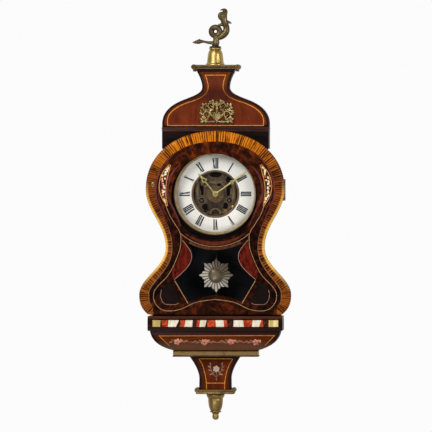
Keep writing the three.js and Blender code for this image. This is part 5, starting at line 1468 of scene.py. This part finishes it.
# Chapter ring: a slightly domed white enamel ring with fired blue-black numerals and a bronze inner rim.
# The ring is pinned in front of the movement.
dial_low, dial_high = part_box("dial_ring")
dial_face = dial_low.y
dial_depth = (dial_high.y - dial_face) / MM
DIAL_R, DIAL_HOLE_R = 77.2, 45.0
DIAL_SECTION = (
    (DIAL_HOLE_R, dial_depth), (DIAL_R, dial_depth), (DIAL_R, 0.5), (76.4, 0.1), (70, -0.35), (60, -0.55),
    (50, -0.35), (45.8, 0.1), (DIAL_HOLE_R, 0.6), (DIAL_HOLE_R, dial_depth),
)
RIM_PROFILE = ((42.6, 1.4), (43.2, 0.2), (44.6, -0.7), (46.4, -0.6), (47.0, -0.2), (46.6, 0.3), (42.6, 1.4))
NUMERALS = ("XII", "I", "II", "III", "IIII", "V", "VI", "VII", "VIII", "IX", "X", "XI")
NUMERAL_FOOT, NUMERAL_TOP = 49.8, 69.6
THICK, THIN, SERIF, SERIF_OUT = 2.4, 0.7, 0.5, 0.3
THICK_PROUD, THIN_PROUD, SERIF_PROUD = 0.72, 0.76, 0.8
# Each letter's advance, and its strokes by top, foot and width
LETTERS = {
    "I": (3.2, ((0.0, 0.0, THICK),)),
    "V": (5.4, ((-1.5, 0.1, THICK), (1.9, 0.6, THIN))),
    "X": (5.8, ((-1.7, 1.7, THICK), (1.8, -1.8, THIN))),
}
bm = bmesh.new()
lathe(bm, DIAL_SECTION, (0, dial_face, 0), 144)
enamel, shader = new_material("enamel", {"Coat Weight": 0.3, "Coat Roughness": 0.05})
place = split(object_vector(shader))
turn = arithmetic("MULTIPLY", arithmetic("ARCTAN2", place["X"], place["Z"]), 40.0)
rays = noise(add(shader.id_data, "CombineXYZ", {0: turn}).outputs[0], 1.0, 3, 0.6)
stains = noise(object_vector(shader), 45, 4, 0.6)
clean = mixed(spread(rays, 0.35, 0.7), (244, 242, 233), (255, 253, 247))
feed(shader, {
    "Base Color": mixed(spread(stains, 0.5, 0.8, 0, 0.4), clean, (222, 218, 192)),
    "Roughness": spread(stains, 0.3, 0.7, 0.18, 0.34),
})
piece("chapter_ring", "case", bm, enamel, smooth=40, stands_for="dial_ring", slot="enamel")
bm = bmesh.new()
lathe(bm, RIM_PROFILE, (0, dial_face, 0), 128)
brown_bronze = metal("brown_bronze", (132, 106, 78), (76, 60, 46), 1.0, 0.4, 0.3, 0.5)
piece("inner_rim", "case", bm, brown_bronze, smooth=50, slot="brass")


def stroke(bm, hour, foot, top, low, high, width, proud):
    """One stroke between two radii of the dial, with its foot and top beside the line of an hour."""
    turn = 2 * math.pi * hour / 12
    up, right = Vector((math.sin(turn), math.cos(turn))), Vector((math.cos(turn), -math.sin(turn)))
    half = width / 2
    corners = (foot - half, low), (foot + half, low), (top + half, high), (top - half, high)
    lay(bm, [(up * z + right * x) * MM for x, z in corners], flat_at(dial_face), proud * MM)


bm = bmesh.new()
for hour, numeral in enumerate(NUMERALS):
    pen = -sum(LETTERS[letter][0] for letter in numeral) / 2
    for letter in numeral:
        advance, strokes = LETTERS[letter]
        middle = pen + advance / 2
        for top, foot, width in strokes:
            proud = THICK_PROUD if width == THICK else THIN_PROUD
            stroke(bm, hour, middle + foot, middle + top, NUMERAL_FOOT, NUMERAL_TOP, width, proud)
            for end, level in ((top, NUMERAL_TOP), (foot, NUMERAL_FOOT)):
                if letter != "V" or level == NUMERAL_TOP:
                    low, high = level - SERIF / 2, level + SERIF / 2
                    stroke(bm, hour, middle + end, middle + end, low, high, width + 2 * SERIF_OUT, SERIF_PROUD)
        pen += advance
fired_black = wood("fired_black", (22, 27, 32), (48, 55, 60), scale=300, coat=0.4, lift=0.03)
piece("numerals", "case", bm, fired_black, slot="enamel")

# Movement: two brown plates and their wheels, seen through the open middle of the dial, with black shapes
# as painted shade for the cut-outs, a bridge with screws, collars at the winding squares and a half ring below.
plate_brown = metal("plate_brown", (96, 78, 58), (44, 36, 32), 1.0, 0.45, 0.3, 0.6)
clock_brass = metal("clock_brass", (206, 176, 106), (134, 106, 58), 0.8, 0.3, 0.15)
steel = metal("steel", (176, 178, 182), (92, 90, 92), 0.7, 0.28)
hour_brass = metal("hour_brass", (128, 104, 68), (58, 46, 34), 1.0, 0.38, 0.3, 0.7)
minute_brass = metal("minute_brass", (72, 58, 44), (30, 24, 22), 1.0, 0.42, 0.3, 0.7)
arbor_steel = metal("arbor_steel", (134, 124, 118), (62, 56, 54), 0.8, 0.3, 0.05)
dark_steel = metal("dark_steel", (44, 40, 42), (20, 18, 20), 0.8, 0.4)
hinge_brass = metal("hinge_brass", (150, 114, 62), (92, 66, 36), 0.9, 0.4, 0.2)
dress(plate_brown, "front_plate", "back_plate")
dress(hour_brass, "hour_wheel")
dress(minute_brass, "minute_wheel")
dress(
    clock_brass, "cannon_pinion", "going_barrel", "strike_barrel", "centre_wheel", "third_wheel",
    "escape_wheel", "suspension_cock", "music_bedplate", "music_spring_drum", "music_cylinder", "music_fly",
)
dress(arbor_steel, "winding_arbor_left", "winding_arbor_right")
dress(steel, "pallet_anchor", "hammer", "music_comb", "bell_stand", "lock_bolt")
dress(bright_brass, "bell")
dress(dark_steel, "pendulum_rod", "rating_nut")
dress(hinge_brass, *(f"hinge_{end}_{owner}_leaf" for end in ("upper", "lower") for owner in ("case", "door")))
dress(old_brass, "hanger_plate", "lock_case")
SQUARE_X, SQUARE_Z, SQUARE_HOLE_R = 27, -12.7, 5.2
CUT_PROUD, PLATE_SINK = 0.2 * MM, 0.1 * MM
PLATE_CUTS = (
    ((-12, 37), (-8, 41), (0, 42.5), (8, 41), (12, 37), (7, 33.5), (0, 32.5), (-7, 33.5)),
    ((20, 28), (24, 34), (30, 30), (29, 25), (22, 23)),
    ((-28.6, 13), (-26, 16), (-23.4, 13), (-23.6, 0), (-26, -3), (-28.4, 0)),
    ((21.4, 15), (24.5, 19), (27.8, 15), (27.6, -1), (24.5, -4), (21.6, -1)),
    ((38, 22), (42, 16), (43.5, 4), (43, -8), (39, -18), (40, -2), (40, 10)),
    ((-40, 20), (-43, 12), (-43.5, 0), (-41, -16), (-40.5, 0), (-40.5, 10)),
    ((-27, -24), (-21, -19), (-14, -20), (-12, -26), (-17, -31), (-24, -30)),
    ((12, -19), (20, -17), (25, -22), (22, -29), (14, -28)),
    ((-6, -38), (-6.5, -33), (-3.5, -29.6), (0, -28.6), (3.5, -29.6), (6.5, -33), (6, -38)),
    ((4, 20), (8, 22), (10.5, 18), (8, 15), (4, 16)),
)
SIDE_BAR = ((34.5, 26), (35.5, 8), (34.5, -10))
BRIDGE = ((-12, 24), (0, 21), (12, 24))
POST_X, POST_Z, POST_R = 9.9, -39.4, 1.6
# Width, how far it stands out, and depth
SIDE_BAR_SIZE, BRIDGE_SIZE, HALF_RING_SIZE = (4.2, 1.6, 1.5), (4.0, 1.8, 1.7), (2.6, 0.1, 0.7)
COLLAR = ((4.8, 0), (6.6, 0), (6.6, -0.9), (5.9, -1.5), (5.2, -1.5), (4.8, -0.8))
# Arcs let into the plate: centre, radius, first and last angle, and width
PLATE_ARCS = (((-20, -24), 13, 170, 330, 1.8), ((20, -24), 13, 10, -150, 1.8), ((0, 6), 19, 20, 160, 1.6))
ARC_PROUD, ARC_DEPTH = 0.45, 0.35
HALF_RING = (0, -38), 9.4, -8, 188
# Screws: place and radius
SCREWS = ((34, -25, 3.0), (-19, 15, 1.8), (19, 15, 1.8), (-35, 24, 1.6), (35, 24, 1.6))
plate_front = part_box("front_plate")[0].y
on_plate = flat_at(plate_front)


def in_metres(path):
    return [Vector(point) * MM for point in path]


def plate_strip(bm, path, face, width, proud, depth):
    """A strip with all its sizes in millimetres."""
    strip(bm, in_metres(path), width, face, proud * MM, depth)


# Painted shade: flat black shapes laid on the front plate stand for its cut-outs and the holes round the
# winding squares.
bm = bmesh.new()
for cut in PLATE_CUTS:
    lay(bm, in_metres(smooth_path(cut + cut[:1], 5)[:-1]), on_plate, CUT_PROUD)
for side in (-1, 1):
    lay(bm, in_metres(circle((side * SQUARE_X, SQUARE_Z), SQUARE_HOLE_R, 28)), on_plate, CUT_PROUD)
piece("plate_cut_out_shade", "case", bm, painted_shade_black, slot="ebonised")
bm = bmesh.new()
for side in (-1, 1):
    plate_strip(bm, sided(SIDE_BAR, side), on_plate, *SIDE_BAR_SIZE)
    lathe(bm, COLLAR, (side * SQUARE_X * MM, plate_front - PLATE_SINK, SQUARE_Z * MM), 40)
for *place, width in PLATE_ARCS:
    plate_strip(bm, arc(*place, 24), on_plate, width, ARC_PROUD, ARC_DEPTH)
plate_strip(bm, arc(*HALF_RING, 24), flat_at(dial_face), *HALF_RING_SIZE)
post = (POST_R, 0), (POST_R, (dial_face - plate_front) / MM)
for side in (-1, 1):
    lathe(bm, post, (side * POST_X * MM, plate_front, POST_Z * MM), 16)
plate_strip(bm, BRIDGE, on_plate, *BRIDGE_SIZE)
piece("plate_bridge", "case", bm, brown_bronze, slot="brass")
bm = bmesh.new()
for x, z, radius in SCREWS:
    screw = ((radius, 0), (radius, -1.2), (radius * 0.75, -1.8), (0, -2.0))
    lathe(bm, screw, (x * MM, plate_front - PLATE_SINK, z * MM), 24)
piece("plate_screws", "case", bm, clock_brass, slot="brass")

# Hands: pierced and gilt, each with a ring, two side leaves and a pointed tip. The hour hand is broad,
# and the minute hand is long and slender.
hand_gilt = metal("hand_gilt", (214, 198, 134), (118, 102, 60), 0.9, 0.3, 0.05)
TIP_SHARES = (0, 0.12, 0.3, 0.5, 0.7, 0.86, 1.0)


def hand(name, body, node, angle, length, boss, stem, ring_at, ring_r, leaf_width):
    """A hand with a boss, a stem, a ring with two leaves beside it and a pointed tip, in millimetres."""
    low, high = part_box(node)
    middle, half = (low.y + high.y) / 2, (high.y - low.y) / 2 / MM
    turn = math.radians(angle)
    bm = bmesh.new()

    def bar(points):
        sweep(bm, [(
            (math.sin(turn) * reach + math.cos(turn) * aside) * MM, middle,
            (math.cos(turn) * reach - math.sin(turn) * aside) * MM, radius * MM,
        ) for reach, aside, radius in points], 12, 0.55)

    boss_profile = ((0, -half * 1.4), (boss * 0.6, -half * 1.4), (boss, -half * 0.6), (boss, half), (0, half))
    lathe(bm, boss_profile, (0, middle, 0), 40)
    bar([(boss * 0.6, 0, stem), (ring_at * 0.45, 0, stem * 0.75), (ring_at - ring_r, 0, stem * 0.9)])
    bar([(ring_at + x, z * 0.8, stem * 0.62) for x, z in arc((0, 0), ring_r, 0, 360, 28)])
    for side in (-1, 1):
        bar([
            (ring_at - ring_r * 1.1, side * 0.6, 0.5),
            (ring_at - ring_r * 0.6, side * ring_r * 1.3, 0.75),
            (ring_at - ring_r * 0.1, side * ring_r * 1.5, 0.6),
            (ring_at + ring_r * 0.1, side * ring_r * 1.05, 0.4),
        ])
    tip_at = ring_at + ring_r
    tip = []
    for share in TIP_SHARES:
        swell = leaf_width * math.sin(math.pi * (0.18 + 0.82 * share)) ** 0.9
        tip.append((tip_at + (length - tip_at) * share, 0, max(swell, 0.25)))
    bar(tip)
    piece(name, body, bm, hand_gilt, smooth=50, stands_for=node, slot="gilt")


hand(
    "hour_hand_cut", "hour", "hour_hand", angle=320, length=52, boss=5.6, stem=2.2, ring_at=35, ring_r=4.2,
    leaf_width=2.6,
)
hand(
    "minute_hand_cut", "minute", "minute_hand", angle=55, length=74, boss=4.8, stem=2.0, ring_at=40, ring_r=2.8,
    leaf_width=2.2,
)

# Pendulum bob: a stamped silver star of eight points, each of three ribs, about a plain dome.
# It is pressed from thin sheet and hangs on the rod behind the window.
BOB_Z, BOB_R, VALLEY_R, HUB_R, DISC_R = -159.0, 33.5, 25.0, 11, 15.4
STAR_POINTS, STAR_RIBS = 8, 24
STAR_DEPTH, POINT_SHARPNESS, LIT_SIDE_TURN = 3.2 * MM, 1.3, math.radians(50)
# A ridge's and a groove's share of the reach, rise at the hub and drop at the edge
RIDGE, GROOVE = (1.0, 1.0, 0.6), (0.94, -0.2, 1.5)
DOME_PROFILE = (
    (DISC_R, 0.6), (DISC_R, -0.9), (14.6, -1.7), (13.4, -1.5), (12.6, -2.0), (9.0, -3.4), (4.5, -4.2),
    (0, -4.5),
)
star_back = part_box("pendulum_bob")[1].y
star_front = star_back - STAR_DEPTH
hub, edge, back = [], [], []
for step in range(STAR_RIBS * 2):
    turn = math.pi * step / STAR_RIBS
    point_share = abs((turn * STAR_POINTS / (2 * math.pi)) % 1 * 2 - 1)
    reach_share, hub_rise, edge_drop = GROOVE if step % 2 else RIDGE
    reach = (VALLEY_R + (BOB_R - VALLEY_R) * point_share ** POINT_SHARPNESS) * reach_share
    for ring, radius, y in (
        (hub, HUB_R, star_front - hub_rise * MM), (edge, reach, star_front + edge_drop * MM),
        (back, reach, star_back),
    ):
        ring.append((math.sin(turn) * radius * MM, y, (BOB_Z + math.cos(turn) * radius) * MM))
bm = bmesh.new()
groove_layer, lit_side_layer = (bm.verts.layers.float.new(name) for name in ("groove", "lit_side"))
rows = skin(bm, [hub, edge, back])
for row in rows:
    for step, vertex in enumerate(row):
        vertex[groove_layer] = step % 2
        # Each vertex notes how far its ray faces the lower left, the side that is painted as lit.
        vertex[lit_side_layer] = 0.5 - 0.5 * math.sin(math.pi * step / STAR_RIBS + LIT_SIDE_TURN)
bm.faces.new(rows[-1])
old_silver, shader, finish = tarnished("old_silver", (255, 250, 236), (222, 206, 172), 0.7, 0.26, 0.05)
# Painted light: the rays towards the lower left are painted lighter and those on the far side a duller brown,
# as if lit from there.
lit_side = mixed(spread(attribute(shader, "lit_side"), 0.1, 0.7), (150, 130, 98), finish["Color"])
# Painted shade: the grooves between the ribs are painted near black.
groove_shade = spread(attribute(shader, "groove"), 0.56, 0.9)
feed(shader, {"Base Color": mixed(groove_shade, lit_side, (34, 26, 18))})
piece("star_bob", "pendulum", bm, old_silver, smooth=24, stands_for="pendulum_bob", slot="silver")
bm = bmesh.new()
lathe(bm, DOME_PROFILE, (0, star_front, BOB_Z * MM), 64)
dome_silver = metal("dome_silver", (150, 134, 108), (88, 76, 58), 0.9, 0.3, 0.1, 0.5)
piece("star_dome", "pendulum", bm, dome_silver, smooth=24, slot="silver")

# Backing behind the window: a black sheet with a woven texture on the backboard, painted shade for the dark
# inside of the case so that the bob stands out. It is laid on in one piece.
SHADE_SHEET_RIGHT = ((108, -226), (108, -185), (96, -160), (74, -118), (74, -66))
SHADE_SHEET_PROUD = 0.3 * MM, 1.2 * MM
board_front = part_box("backboard")[0].y
shade_sheet = [Vector(point) for point in SHADE_SHEET_RIGHT] + flipped(reversed(SHADE_SHEET_RIGHT))
bm = bmesh.new()
skin(bm, [at_depth(shade_sheet, board_front - proud) for proud in SHADE_SHEET_PROUD], caps=True)
shade_cloth, shader = new_material("painted_shade_sheet", {"Roughness": 0.95})
weave = noise(object_vector(shader, (1, 1, 1.6)), 900, 2, 0.5)
feed(shader, {"Base Color": mixed(spread(weave, 0.3, 0.7), (6, 6, 12), (18, 18, 28))})
bump(shader, weave, 0.3, 0.2 * MM)
piece("window_shade_sheet", "case", bm, shade_cloth, slot="ebonised")

# Glass of the dial and the window: thin old sheet with faint smears.
# The round pane sits behind the bezel, and the shaped one is puttied into the door.
glass, shader = new_material("old_glass", {})
smears = noise(object_vector(shader, (1, 1, 0.4)), 30, 4, 0.6, 0.5)
feed(shader, {
    "Base Color": mixed(smears, (14, 16, 18), (30, 34, 36)),
    "Alpha": spread(smears, 0.3, 0.7, 0.02, 0.07), "Roughness": spread(smears, 0.3, 0.7, 0.04, 0.12),
})
dress(glass, "dial_glass", "window_glass")
